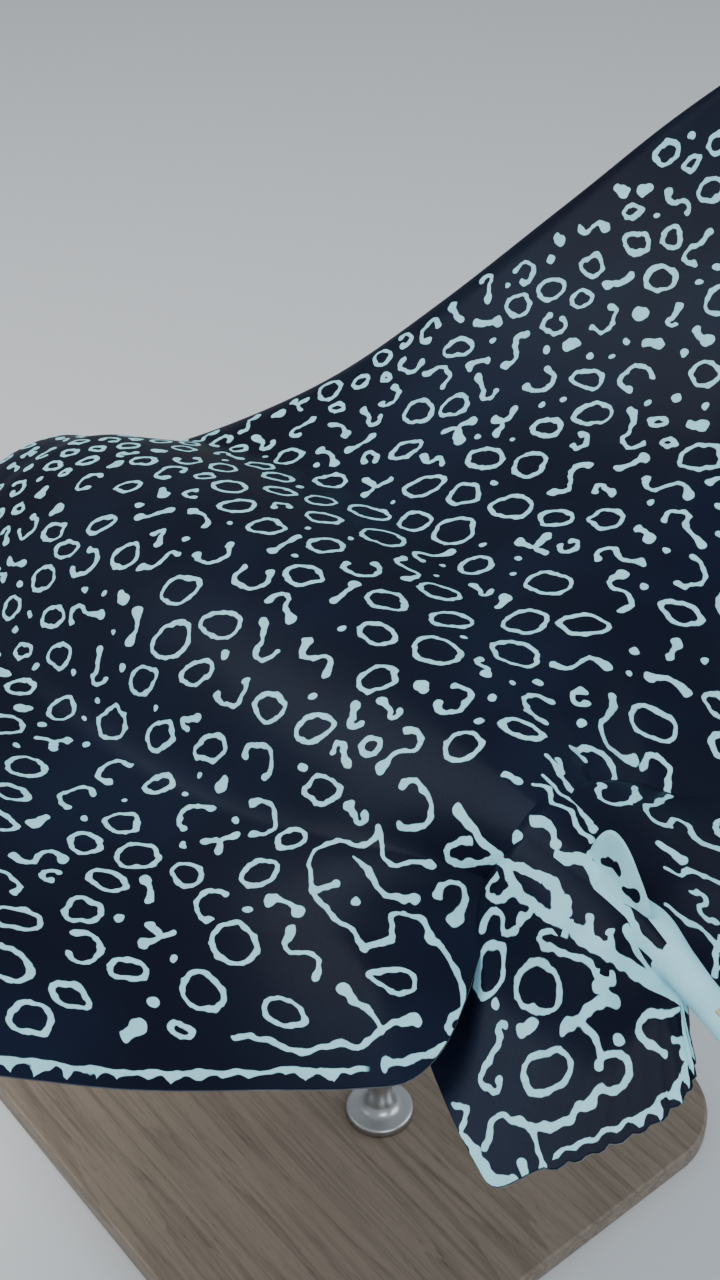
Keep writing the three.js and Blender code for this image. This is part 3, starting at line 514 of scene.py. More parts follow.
MOUTH_PROFILE = [
    (-6, -1.2, 0), (-4, 0.9, 0.4), (-1.4, 1.3, 1), (-0.8, 0.4, 1), (2.4, 0.4, 1), (2.9, 1.9, 0.6),
    (4.6, 3.2, 0), (7.5, 3.1, 0), (11, 1.5, 0), (15, -1.2, 0), (15, -3, 0), (-6, -3, 0),
]
CURTAIN_PROFILE = [
    (-14, -1.2, 0), (-10, 0.6, 0), (-6, 2.0, 0), (-2.5, 3.2, 0), (-0.6, 3.7, 0), (0.6, 3.4, 0),
    (0.9, 2.7, 0.5), (0.1, 2.2, 1), (-4, 1.0, 1), (-7, -1.5, 0), (-14, -3, 0),
]
PIT_PROFILE = [
    (-3.4, 0.4, 1), (-1.9, 0.5, 1), (-1.2, 1.5, 0.6), (0, 2.1, 0), (2, 1.7, 0), (4.5, 0.2, 0), (6.5, -1.2, 0),
    (6.5, -3, 0), (-3.4, -3, 0),
]
FOLD_APART = -3.0  # shares that part the folds from every mark


def on_body(turn, along):
    """Places on the bare body, sin(turn) of its half width out, on the upper or the lower face."""
    turn = (turn + np.pi) % (2 * np.pi) - np.pi
    share = np.abs(np.sin(turn))
    across = share * body_half_width(along)
    top, bottom = heights_at(across, along, share)
    height = np.where(np.abs(turn) < np.pi / 2, top, bottom)
    left, right = (bent(side, across, along, height) for side in (1, -1))
    return np.where((turn >= 0)[..., None], left, right)


def slopes_at(turn, along):
    """A place on the body, how it moves with the turn and with the share along, and its unit normal."""
    by_turn = (on_body(turn + 0.02, along) - on_body(turn - 0.02, along)) / 0.04
    by_along = (on_body(turn, along + 0.001) - on_body(turn, along - 0.001)) / 0.002
    normal = np.cross(by_turn, by_along)
    return on_body(turn, along), by_turn, by_along, normal / np.linalg.norm(normal, axis=-1, keepdims=True)


def oval(place, radii, tilt, count):
    """A closed line on the body: an ellipse about a place, its front end tilted down, and its angles."""
    turn, along = (np.array(value) for value in place)
    angle = np.linspace(0, 2 * np.pi, count, endpoint=False) * np.where(turn < 0, -1, 1)
    _, by_turn, by_along, _ = slopes_at(turn, along)
    first, second = (radius * MILLIMETRE * wave(angle) for radius, wave in zip(radii, (np.cos, np.sin)))
    up = (first * np.sin(tilt) + second * np.cos(tilt)) / np.linalg.norm(by_turn)
    back = (first * np.cos(tilt) - second * np.sin(tilt)) / np.linalg.norm(by_along)
    return turn - up * np.where(turn < 0, -1, 1), along + back, np.abs(angle)


def welt(turn, along, profile, swell=1.0, closed=False, under=0.0):
    """A closed profile carried along a line on the body: each corner steps to the line's right along the
    skin, then out of it by its height times the swell, and where the swell is low the fold is narrow too.
    The ends of an open line close on their middles."""
    count = len(turn)
    order = np.arange(count)
    ahead = (order + 1) % count if closed else np.minimum(order + 1, count - 1)
    behind = (order - 1) % count if closed else np.maximum(order - 1, 0)
    line, by_turn, by_along, normal = slopes_at(turn, along)
    right = np.cross(line[ahead] - line[behind], normal)
    right = right / np.linalg.norm(right, axis=-1, keepdims=True)
    steps = np.linalg.solve(np.stack([by_turn, by_along, normal], -1), right[..., None])[..., 0]
    sideways, rise, shadow = np.array(profile, float).T[:, None, :]
    swell = np.broadcast_to(swell, turn.shape)[:, None]
    sideways = sideways * MILLIMETRE * np.minimum(1, 0.3 + 0.7 * swell)
    rise = rise * MILLIMETRE
    here, _, _, normal = slopes_at(turn[:, None] + steps[:, :1] * sideways,
                                   along[:, None] + steps[:, 1:2] * sideways)
    sunk = EDGES_SUNK * (1 - np.minimum(swell, 1))
    level = here + normal * (np.where(rise > 0, rise * swell, rise) - sunk)[..., None]
    numbers = order[:, None] * len(profile) + np.arange(len(profile) + 1) % len(profile)
    middles = level[[0, -1]].mean(1)
    quads = [quads_of(numbers[np.arange(count + closed) % count], True)]
    level = level.reshape(-1, 3)
    shadow = np.broadcast_to(shadow, (count, len(profile))).ravel()
    if not closed:
        for row, middle, turned in ((0, len(level), True), (-1, len(level) + 1, False)):
            fan = np.stack([numbers[row], np.full(len(profile) + 1, middle)])
            quads.append(quads_of(fan.T, turned))
        level = np.concatenate([level, middles])
        shadow = np.append(shadow, [0, 0])
    fields = skin_fields(level, (FOLD_APART, 0.0), under=under, along=level[:, 1], hollow=shadow)
    return fields, np.concatenate(quads)


def vertex_normals(level, quads, triangles):
    """Unit normals of vertices: the sum of their faces' normals, each the cross of two diagonals."""
    normals = np.zeros_like(level)
    for faces in (quads, triangles):
        across = np.cross(level[faces[:, 2]] - level[faces[:, 0]], level[faces[:, -1]] - level[faces[:, 1]])
        for corner in faces.T:
            np.add.at(normals, corner, across)
    return normals / np.linalg.norm(normals, axis=1, keepdims=True)


skin_normals = vertex_normals(skin["level"], skin_quads, skin_triangles)


def press_in(place, radii, tilt, depth):
    """Sinks the skin within an ellipse about a place on the body, smoothly, and marks it as shadowed."""
    turn, along = (np.array(value) for value in place)
    centre, by_turn, by_along, normal = slopes_at(turn, along)
    offset = (skin["level"] - centre) / MILLIMETRE
    back = offset @ by_along / np.linalg.norm(by_along)
    up = -offset @ by_turn / np.linalg.norm(by_turn) * np.where(turn < 0, -1, 1)
    reach = np.hypot((back * np.cos(tilt) + up * np.sin(tilt)) / radii[0],
                     (up * np.cos(tilt) - back * np.sin(tilt)) / radii[1])
    reach = np.where(np.abs(offset @ normal) < FACE_DEPTH, reach, np.inf)
    sunk = 1 - ease(reach, (0.45, 0.65))
    skin["level"] = skin["level"] - skin_normals * (sunk * depth * MILLIMETRE)[:, None]
    skin["hollow"] = np.maximum(skin["hollow"], 1 - ease(reach, (0.75, 0.35)))


def both_sides(place):
    """A place on the body and its mirror image on the right."""
    return place, (-place[0], place[1])


folds = []
for place in both_sides(SPIRACLE_PLACE):
    press_in(place, SPIRACLE_RADII, SPIRACLE_TILT, SPIRACLE_DEPTH)
    turn, along, angle = oval(place, SPIRACLE_RADII, SPIRACLE_TILT, 72)
    # The rim is thickest in front, where the valve grows from it.
    folds.append(welt(turn, along, SPIRACLE_PROFILE, 0.75 - 0.45 * np.cos(angle), True))
for place in both_sides(EYE_PLACE):
    turn, along, angle = oval(place, LID_RADII, LID_TILT, 64)
    # The upper lid is the heavier one.
    folds.append(welt(turn, along, LID_PROFILE, 1 + 0.35 * np.sin(angle), True))
for side in (1, -1):
    # From the bill back to the wing's leading edge, and on each side in the same sense.
    along = np.linspace(*RIDGE_ALONG, RIDGE_STEPS)
    ends = smooth_step(np.linspace(0, 3.2, RIDGE_STEPS)) * smooth_step(np.linspace(4.5, 0, RIDGE_STEPS))
    folds.append(welt(np.full(RIDGE_STEPS, RIDGE_TURN * side), along, RIDGE_PROFILE, ends))
for gill in np.linspace(*GILLS_ALONG, 5):
    for side in (1, -1):
        part = np.linspace(0, 1, 22)[::side]
        share = GILL_SHARES[0] + (GILL_SHARES[1] - GILL_SHARES[0]) * part
        along = gill - 0.10 * (gill - GILLS_LEVEL) * part + GILL_BOW * (1 - (2 * part - 1) ** 2)
        swell = np.sin(np.pi * np.clip(part, 0.01, 0.99)) ** 0.6
        folds.append(welt(side * (np.pi - np.arcsin(share)), along, GILL_PROFILE, swell, under=1.0))
part = np.linspace(-1, 1, 56)
folds.append(welt(np.pi - MOUTH_TURN * part, MOUTH_ALONG - MOUTH_BOW * part ** 2, MOUTH_PROFILE,
                  np.clip(1 - part ** 6, 0.02, 1) ** 0.6, under=1.0))
part = np.linspace(-1, 1, 96)
fringe = 0.0004 * np.abs(np.sin(17 * part)) + 0.0012 * (1 - (2 * np.abs(part) - 1) ** 2)
notch = CURTAIN_NOTCH * np.exp(-(part / 0.09) ** 2)
folds.append(welt(np.pi - CURTAIN_TURN * part, CURTAIN_ALONG - CURTAIN_BOW * part ** 2 + fringe - notch,
                  CURTAIN_PROFILE, np.clip(1 - part ** 8, 0.02, 1) ** 0.6, under=1.0))
for place in both_sides(NOSTRIL_PLACE):
    turn, along, _ = oval(place, NOSTRIL_RADII, NOSTRIL_TILT, 28)
    folds.append(welt(turn, along, PIT_PROFILE, 1.0, True, 1.0))
turn, along, _ = oval(VENT_PLACE, VENT_RADII, 0, 40)
folds.append(welt(turn, along, PIT_PROFILE, 1.0, True, 1.0))

# ---- The fins on the tail root ---------------------------------------------------------------------
# The pelvic fins lie flat beside the root of the tail, their roots thickened into it, and the small
# dorsal fin stands on its ridge. All three grow from the skin and share its material.

PELVIC_MARGIN = [
    (0.034, 0.548), (0.078, 0.566), (0.106, 0.588), (0.1205, 0.615), (0.1315, 0.645), (0.1335, 0.660),
    (0.1165, 0.670), (0.100, 0.681), (0.081, 0.6915), (0.065, 0.6985), (0.048, 0.6995), (0.032, 0.695),
    (0.012, 0.682),
]
PELVIC_ROOT = (0.548, 0.668)
PELVIC_DROOP = {1: np.tan(np.radians(12)), -1: np.tan(np.radians(19))}
PELVIC_DROP = 0.012
PELVIC_HALF_THICKNESS = (0.009, 0.0008)  # more at the root, and everywhere
CROWN_SHARE, FOOT_SHARE = 0.93, 0.8  # of the tail's height, where the pelvic and dorsal fins' skins meet it
PELVIC_SHOULDER = 0.065  # over which the upper face comes down from the tail's back
SHOULDER_FROM, SHOULDER_TO = (0.552, 0.03), (0.64, 0.03)  # along: where it fades in, and out
PELVIC_STEPS = (110, 22)
ROOT_OVERLAP = 0.0003  # by which each root crosses the midline inside the tail
SCALLOPS = 10  # round lobes along the rear margin of a pelvic fin
SCALLOP_SPAN = (0.62, 0.95)
SCALLOP_DEPTH = 0.0024
TOOTH_STEP = 0.021  # metres between the pale teeth of a trailing margin
MARGIN_LINE_FROM = 10 * TOOTH_STEP  # metres along the trailing margin from the tail
PELVIC_APART = 3.0  # shares that part a fin's marks from those of the back
PELVIC_SHARE, DORSAL_SHARE = 2.0, 3.0  # which tell the fins from the body, whose shares end at 1

DORSAL_BASE = (0.606, 0.646)
DORSAL_EDGE = [  # along, and height over the ridge
    (0.606, 0), (0.6092, 0.0098), (0.6145, 0.0200), (0.6200, 0.0262), (0.6262, 0.0278), (0.6328, 0.0250),
    (0.6392, 0.0188), (0.6448, 0.0125), (0.6486, 0.0068), (0.6484, 0.0027), (0.646, 0),
]
DORSAL_LEAN = 0.35
DORSAL_HALF_THICKNESS = (0.0042, 0.0009)
DORSAL_FOOT = 0.004  # more at its foot
DORSAL_STEPS = (28, 18)
DORSAL_FACES_APART = 0.2  # shares between the marks of its two faces


def border_of(numbers):
    """The vertex numbers round a grid's border, the first again at the end."""
    return np.concatenate([numbers[0], numbers[1:, -1], numbers[-1, -2::-1], numbers[-2::-1, 0]])


def closed_sheets(shape, turned):
    """Quads of an upper sheet, of a lower one numbered after it, and of the strip between their borders."""
    above = np.arange(np.prod(shape)).reshape(shape)
    below = above + above.size
    strip = np.stack([border_of(below), border_of(above)]).T
    return np.concatenate([quads_of(above, turned), quads_of(below, not turned), quads_of(strip, not turned)])


def pelvic_fin(side):
    """A thin sheet ruled from the middle of the body to a scalloped margin, drooping outwards.

    Its half thickness falls from the root as 1 - v^0.8. Its upper face rises to the tail's back."""
    margin = even_points(PELVIC_MARGIN, PELVIC_STEPS[0] + 1)
    u = np.linspace(0, 1, len(margin))
    phase = SCALLOPS * (u - SCALLOP_SPAN[0]) / (SCALLOP_SPAN[1] - SCALLOP_SPAN[0])
    scalloped = (phase > 0) & (phase < SCALLOPS)
    lobes = np.abs(np.sin(np.pi * phase)) ** 0.8 * scalloped
    turn = np.gradient(margin, axis=0)
    outwards = np.stack([turn[:, 1], -turn[:, 0]], -1) / np.linalg.norm(turn, axis=1)[:, None]
    margin = margin + outwards * (SCALLOP_DEPTH * lobes)[:, None]
    v = np.sin(np.linspace(0, np.pi / 2, PELVIC_STEPS[1] + 1))[None, :]
    root_along = (PELVIC_ROOT[0] + (PELVIC_ROOT[1] - PELVIC_ROOT[0]) * u)[:, None]
    edge_x, edge_along = margin[:, :1], margin[:, 1:]
    tailward = tail_swing(edge_along) * (1 - smooth_step(edge_x / 0.06))
    x = (tail_swing(root_along) - side * ROOT_OVERLAP) * (1 - v) + (side * edge_x + tailward) * v
    along = root_along * (1 - v) + edge_along * v
    out = side * (x - tail_swing(along))
    middle = body_value(CENTRE, along) - PELVIC_DROP - PELVIC_DROOP[side] * np.maximum(0, out - 0.02)
    half = PELVIC_HALF_THICKNESS[0] * (1 - v ** 0.8) + PELVIC_HALF_THICKNESS[1]
    shoulder = 1 - ease(out, (0.35 * body_half_width(along), PELVIC_SHOULDER))
    shoulder = shoulder * ease(along, SHOULDER_FROM) * (1 - ease(along, SHOULDER_TO))
    crown = body_value(CENTRE, along) + CROWN_SHARE * body_value(ABOVE, along)
    x, along, out = np.broadcast_arrays(x, along, out)
    gap, _ = nearest_on_line(margin, edge_x * v, along)
    run = np.where(scalloped, MARGIN_LINE_FROM + phase * TOOTH_STEP, 0) / DISC_WIDTH
    trailing = (gap + 0.001, np.broadcast_to(run[:, None], gap.shape))
    sheets = []
    for sign in (1, -1):
        height = middle + sign * half
        if sign > 0:
            height = height + shoulder * (crown - height)
        level = np.stack([x, along, height], -1).reshape(-1, 3)
        place = (side * (PELVIC_APART + out), along)
        sheets.append(skin_fields(level, place, trailing, 0.5, sign < 0, side, np.maximum(out, 0), along,
                                  PELVIC_SHARE))
    return stacked(sheets), closed_sheets(x.shape, side == 1)


def dorsal_fin():
    """A leaning blade ruled from the tail's ridge to a rounded free edge, thick at its foot."""
    edge = even_points(DORSAL_EDGE, DORSAL_STEPS[0] + 1)
    u, v = np.meshgrid(np.linspace(0, 1, DORSAL_STEPS[0] + 1), np.linspace(0, 1, DORSAL_STEPS[1] + 1),
                       indexing="ij")
    base = DORSAL_BASE[0] + (DORSAL_BASE[1] - DORSAL_BASE[0]) * u
    along = base + (edge[:, :1] - base) * v
    height = edge[:, 1:] * v
    rounding = np.sqrt(np.maximum(0, 1 - (2 * u - 1) ** 2)) * np.sqrt(np.maximum(0, 1 - v ** 6))
    foot = DORSAL_FOOT * (1 - smooth_step(v / 0.3))
    half = (DORSAL_HALF_THICKNESS[0] * (1 - v) + DORSAL_HALF_THICKNESS[1] * v + foot) * rounding
    up = body_value(CENTRE, along) + body_value(ABOVE, along) * FOOT_SHARE + np.cos(DORSAL_LEAN) * height
    x = tail_swing(along) - np.sin(DORSAL_LEAN) * height
    sheets = []
    for sign in (1, -1):
        level = np.stack([x + sign * half, along, up], -1).reshape(-1, 3)
        place = (2 * PELVIC_APART + height + sign * DORSAL_FACES_APART / 2, along)
        sheets.append(skin_fields(level, place, side=sign, across=height, along=along, share=DORSAL_SHARE))
    return stacked(sheets), closed_sheets(u.shape, False)


for grown, grown_quads in folds + [pelvic_fin(1), pelvic_fin(-1), dorsal_fin()]:
    grown, grown_quads, grown_triangles = weld(grown, grown_quads)
    start = len(skin["level"])
    skin = stacked([skin, grown])
    skin_quads = np.concatenate([skin_quads, grown_quads + start])
    skin_triangles = np.concatenate([skin_triangles, grown_triangles + start])

# ---- The markings ----------------------------------------------------------------------------------
# Pale rings, hooks, bones and worms cover the back, with small dots between them. Each is a line of
# pale pigment in the dark skin, held as nine points: round from the midline, along, and half its
# width. The long lines of the rear corners, the tail root and the pelvic fins are laid first.

LINE_HALF = 0.0021
BLOB_HALF = 0.0043
LINE_POINTS = 9
MARK_SPACING = 0.050
HEAD_SPACING = 0.024
EDGE_SHARE = 0.35  # of the spacing's growth, left at the leading edge
MARK_CLEARANCE = 0.0085
MARK_REACH = 0.05  # within which a face looks for marks
FAR_AWAY = -9.0
SHARP_TURN = 2.1  # radians
PELVIC_METRES = PELVIC_APART * DISC_WIDTH
DORSAL_METRES = 2 * PELVIC_APART * DISC_WIDTH
chance = np.random.default_rng(27)

# Long lines in millimetres: across, along, half width. The first lists are on the back, to the left
# and the right of the midline and over it; the others are on the pelvic fins and the dorsal fin.
LEFT_LINES = [
    [(96, 880, 2.4), (115, 880, 2), (130, 857, 2.4), (151, 849, 2), (178, 873, 2.4), (183, 904, 2),
     (181, 923, 2.4), (188, 940, 3)],
    [(178, 874, 2), (161, 887, 2.6)],
    [(188, 940, 3), (168, 948, 3), (140, 941, 2), (147, 970, 2.6), (151, 1000, 2.4), (161, 1022, 2.2),
     (181, 1026, 3), (177, 1036, 2.2), (192, 1035, 2.8)],
    [(192, 1035, 2.8), (206, 1031, 2.2), (221, 1026, 2.8), (244, 1014, 2.2)],
    [(96, 880, 3), (108, 892, 2), (116, 908, 2.6), (104, 918, 2), (94, 930, 3.8)],
    [(131, 881, 1.6), (134, 902, 2.8), (138, 923, 1.8), (125, 940, 3.4)],
    [(318, 922, 2), (306, 930, 2.4), (287, 963, 2), (270, 975, 2.8), (254, 991, 2.2), (231, 995, 2),
     (203, 1009, 4.4)],
    [(231, 995, 2), (233, 975, 2), (228, 953, 4.2)],
    [(58, 948, 3), (66, 939, 2.2), (77, 936, 2.2), (82, 945, 2.2), (70, 958, 2.4), (60, 971, 2.6)],
    [(112, 951, 4), (103, 949, 2.4), (95, 957, 2.2), (101, 965, 2.2), (112, 967, 2.6), (121, 970, 4.4)],
    [(44, 928, 5.5), (47, 940, 3.2), (51, 958, 3.4), (54, 975, 4.2)],
]
RIGHT_LINES = [
    [(150, 915, 3.6), (144, 922, 2), (123, 930, 2.2), (111, 946, 2.2), (113, 956, 2.4), (126, 964, 4.4)],
    [(84, 950, 2.6), (78, 942, 2.2), (92, 944, 2.4), (103, 965, 2.4), (92, 982, 2.6), (84, 992, 2.6)],
    [(132, 972, 3.2), (140, 966, 2.2), (150, 970, 2.4), (152, 982, 2.2), (142, 990, 2.4), (128, 1000, 2.6)],
]
RIDGE_LINES = [
    [(20, 1018, 5), (15, 1025, 5), (9, 1030, 4.4), (6, 1041, 4), (10, 1051, 5.2), (14, 1060, 4.6),
     (12, 1072, 4), (12, 1085, 4.6), (14, 1098, 5)],
    [(14, 1098, 5), (15, 1112, 5.5), (13, 1126, 6.5), (8, 1145, 8), (2, 1160, 9)],
    [(6, 1041, 3.6), (0, 1035, 3.2), (-6, 1038, 4), (-9, 1046, 4)],
    [(-44, 944, 2.6), (-38, 964, 2.2), (-33, 984, 3), (-30, 1002, 3)],
    [(-50, 952, 3), (-41, 962, 2)],
    [(-12, 960, 1.4), (-17, 972, 2.4), (-10, 984, 1.6), (-15, 1000, 2), (-8, 1016, 2.6), (-9, 1026, 2)],
    [(-24, 960, 1.6), (-22, 980, 1.2), (-23, 1000, 1.6), (-17, 1022, 2.6)],
    [(12, 984, 4), (7, 994, 2.8), (9, 1004, 2.4), (14, 1010, 3.6)],
    [(-2, 940, 3.4), (-5, 950, 2.6)],
    [(31, 980, 3.4)],
]
FIN_LINES = [
    [(49, 970, 4.2), (50, 986, 3.6), (44, 1000, 3.4), (40, 1012, 3.8), (37, 1027, 5), (42, 1038, 5),
     (48, 1046, 5)],
    [(50, 984, 3.4), (55, 993, 3), (58, 1006, 3.2), (57, 1022, 3.6), (54, 1036, 4), (49, 1050, 4.5),
     (46, 1068, 5), (43, 1082, 5.5), (40, 1092, 5)],
    [(40, 1092, 5), (35, 1104, 4.6), (26, 1118, 4.4), (17, 1134, 5), (10, 1150, 6), (4, 1166, 7)],
    [(42, 1050, 4), (37, 1045, 2.4)],
    [(41, 1072, 4), (34, 1066, 2)],
    [(36, 1092, 4), (29, 1086, 2)],
    [(58, 1004, 2.6), (66, 998, 2.4), (71, 988, 2.4), (67, 978, 2.2), (60, 982, 2.6)],
    [(57, 1024, 2.6), (65, 1024, 2.6), (70, 1018, 3.2)],
    [(54, 1058, 2), (62, 1044, 2.2), (71, 1042, 2.4), (70, 1051, 2.2), (60, 1072, 2), (55, 1087, 2.2),
     (54, 1097, 2.6), (48, 1104, 3.4)],
    [(48, 1104, 3.4), (61, 1100, 3), (55, 1114, 2.6), (66, 1107, 3.2), (75, 1102, 4), (87, 1099, 2.6),
     (96, 1092, 4.6)],
    [(86, 1101, 2), (82, 1117, 2.2), (87, 1126, 2.4), (92, 1128, 3.2)],
    [(86, 1124, 2.4), (76, 1136, 2.4), (74, 1146, 2.6), (81, 1152, 2.4), (93, 1149, 3), (105, 1139, 2.4),
     (113, 1141, 3.4), (125, 1135, 2.4), (134, 1135, 3)],
    [(134, 1135, 3), (147, 1127, 2.4), (160, 1115, 2.6), (167, 1102, 2.4), (174, 1089, 2.4),
     (181, 1088, 2.8), (188, 1094, 2.4), (197, 1097, 3)],
    [(159, 1118, 2.2), (166, 1130, 2), (170, 1141, 2)],
    [(128, 1048, 3.2), (132, 1044, 2.4), (138, 1052, 2.2), (153, 1057, 3), (165, 1057, 2.2),
     (169, 1068, 2.4), (164, 1076, 2.6), (158, 1072, 3.2)],
    [(112, 1067, 4.6), (121, 1063, 3.2)],
    [(20, 1150, 2), (32, 1142, 2.2), (44, 1135, 2.4), (53, 1137, 2.4), (52, 1150, 2.4), (48, 1163, 2.2)],
    [(36, 1160, 2.4), (30, 1168, 2.6), (36, 1174, 2.4)],
    [(202, 1074, 2), (204, 1092, 3), (207, 1108, 4.4), (204, 1122, 5), (194, 1132, 4.6)],
    [(196, 1054, 2.2), (190, 1064, 2), (198, 1072, 2.2)],
    [(180, 1128, 3.6), (184, 1138, 1.8)],
    [(92, 990, 3.4), (85, 989, 2.4), (76, 996, 2.2), (78, 1003, 2.2), (84, 1008, 2.2), (78, 1017, 3)],
    [(18, 1092, 3.4), (17, 1106, 5), (14, 1120, 6)],
    [(122, 1032, 2.6)],
    [(69, 1128, 3)],
]
ON_BOTH_FINS = slice(16, 21)
# Rings: across, along, half their length and half their width in millimetres, and their turn.
FIN_RINGS = [(107, 1010, 17, 13, 0.4), (93, 1056, 23, 14, 1.9), (127, 1099, 22, 12, 2.6)]
RIGHT_FIN_LINES = [
    [(84, 992, 2.6), (62, 1014, 2.6), (44, 1001, 2.4), (56, 990, 3.2)],
    [(110, 1002, 2.6), (96, 1010, 2.4), (69, 1026, 2.4), (72, 1042, 2.4), (90, 1038, 2.6), (87, 1058, 2.8),
     (98, 1072, 2.4), (106, 1092, 3), (102, 1112, 2.4)],
    [(52, 1058, 3.6), (58, 1076, 3.6)],
    [(40, 1076, 1.6), (48, 1088, 1.6), (56, 1086, 3), (64, 1096, 1.8), (84, 1108, 2)],
    [(44, 1102, 1.6), (52, 1106, 2.4), (42, 1114, 1.8), (50, 1122, 2)],
    [(20, 1100, 1.6), (26, 1112, 2.2), (34, 1122, 1.6), (38, 1140, 1.8), (46, 1156, 1.6)],
]
RIGHT_FIN_RINGS = [(128, 1060, 18, 13, 0.9), (72, 1136, 15, 10, 0.3), (146, 1106, 21, 13, 2.4)]
DORSAL_HOLES = [
    [(185, 1049, 1.6), (190, 1056, 3.0), (193, 1066, 3.0)],
    [(183, 1078, 3.2), (185, 1088, 4.2)],
]


def long_line(points, sign=1.0, apart=0.0):
    """Up to nine points as a line, the last one repeated, on the left or the right of the animal."""
    line = np.array(points + points[-1:] * (LINE_POINTS - len(points)), float) / 1000
    line[:, 0] = sign * (apart + line[:, 0])
    return line


def ring(size, squash, wobble):
    """An ellipse whose corners move in and out by the wobble, with a line of uneven width."""
    turn = np.linspace(0, 2 * np.pi, LINE_POINTS)
    reach = np.append(1 + wobble * chance.uniform(-1, 1, LINE_POINTS - 1), 0)
    reach = reach + chance.uniform(0, 0.16) * np.cos(turn)
    half = np.append(LINE_HALF * chance.uniform(0.85, 1.25, LINE_POINTS - 1), 0)
    reach[-1], half[-1] = reach[0], half[0]
    return np.stack([size * reach * np.cos(turn), size * squash * reach * np.sin(turn), half], -1)


def with_blobs(points, first=1.0, last=1.0):
    """A line whose two ends swell to blobs."""
    half = np.full(len(points), LINE_HALF)
    half[0], half[-1] = BLOB_HALF * first, BLOB_HALF * last
    line = np.column_stack([points, half])
    return np.vstack([line, np.repeat(line[-1:], LINE_POINTS - len(line), axis=0)])


def random_mark(kind, size):
    """A mark of one kind about the origin: size is half its length."""
    if kind == "ring":
        return ring(size * chance.uniform(0.72, 0.97), chance.uniform(0.62, 0.92), 0.11)
    if kind == "crescent":
        turn = np.linspace(-1, 1, 8) * chance.uniform(1.7, 2.4)
        reach = size * 0.72 * chance.uniform(0.9, 1.1, 8)
        return with_blobs(np.stack([reach * np.cos(turn), reach * np.sin(turn) * 1.15], -1), 0.85, 0.85)
    if kind == "worm":
        x = np.array([-1.0, -0.72, -0.3, 0.1, 0.55, 0.95]) * size * 1.1
        x = x + chance.uniform(-0.08, 0.08, 6) * size
        y = np.array([0.30, -0.20, -0.22, 0.12, 0.28, -0.30]) * size * chance.uniform(0.6, 1.3)
        return with_blobs(np.stack([x, y], -1), 0.85, 1.05)
    if kind == "hook":
        turn = np.linspace(2.6, -1.2, 6)
        bend = np.stack([0.5 * np.cos(turn), 0.55 + 0.45 * np.sin(turn)], -1)
        stem = np.array([[0.05, -0.25], [-0.05 + chance.uniform(-0.2, 0.2), -1.0]])
        return with_blobs(np.vstack([bend, stem]) * size, 0.75, 1.0)
    if kind == "fork":
        arms = chance.uniform(0.6, 1.05, 3)[:, None] * np.array([[-1, 0.15], [0.95, 0.35], [0.1, -0.8]])
        middle = np.array([[0.0, 0.0]])
        points = np.vstack([arms[:1], middle, arms[2:], middle, arms[1:2]]) * size
        line = with_blobs(points, 0.8, 0.9)
        line[2, 2] = BLOB_HALF
        return line
    if kind == "bone":
        bend = chance.uniform(-0.3, 0.3)
        points = np.array([[-1, 0], [-0.3, bend], [0.3, bend], [1, 0]]) * size * 0.8
        return with_blobs(points, 1.05, 1.05)
    return with_blobs(np.array([[-0.3, 0], [0.3, chance.uniform(-0.2, 0.2)]]) * size, 1.0, 1.25)


def turned_to(mark, angle, place):
    """The mark turned and moved to its place on the skin."""
    c, s = np.cos(angle), np.sin(angle)
    return np.column_stack([mark[:, :2] @ np.array([[c, s], [-s, c]]) + place, mark[:, 2]])


def samples_of(marks):
    """Points along each mark's line, three to a step."""
    marks = np.asarray(marks)
    steps = np.linspace(0, 1, 4)[:3][None, None, :, None]
    between = marks[:, :-1, None] * (1 - steps) + marks[:, 1:, None] * steps
    return between.reshape(len(marks), -1, 3)


def points_near(points, centre, reach):
    """Those of the points that lie within reach of a place."""
    return points[np.hypot(*(points[:, :2] - centre).T) < reach]


def clearance(mark, others):
    """The least distance between one mark's line and points of others, less both half widths."""
    own = samples_of([mark])[0]
    apart = np.linalg.norm(own[:, None, :2] - others[None, :, :2], axis=-1)
    return (apart - own[:, None, 2] - others[None, :, 2]).min(initial=1.0)


KINDS = ["ring", "crescent", "worm", "hook", "fork", "bone", "drop"]
KIND_SHARES = [0.49, 0.13, 0.09, 0.10, 0.05, 0.08, 0.06]
SMALL_SHARES = [0.15, 0.25, 0.05, 0.15, 0.05, 0.20, 0.15]
TRIES, TRIES_A_KIND, SHRINKING = 48, 6, 0.985
SMALL_SIZE, SMALL_ROOM, DOT_ROOM = 0.011, 0.0175, 0.0118
SMALL_TRIES, DOT_TRIES = 5000, 3000
MARK_SLANT = np.radians(130)  # most marks lie slantwise, across the body and back
MARK_SPREAD = np.radians(26)
LEAST_GAP = 0.80  # of the spacing, between the middles of two marks
BARE_TRAILING, BARE_LEADING = 0.036, 0.030  # metres inside the margins without scattered marks
MARKS_FROM = 0.075  # metres along
MARKS_TO, RIDGE_MARKS_TO = 1.06, 0.93  # where they end, farther forward over the ridge's long lines
RIDGE_HALF = 0.07


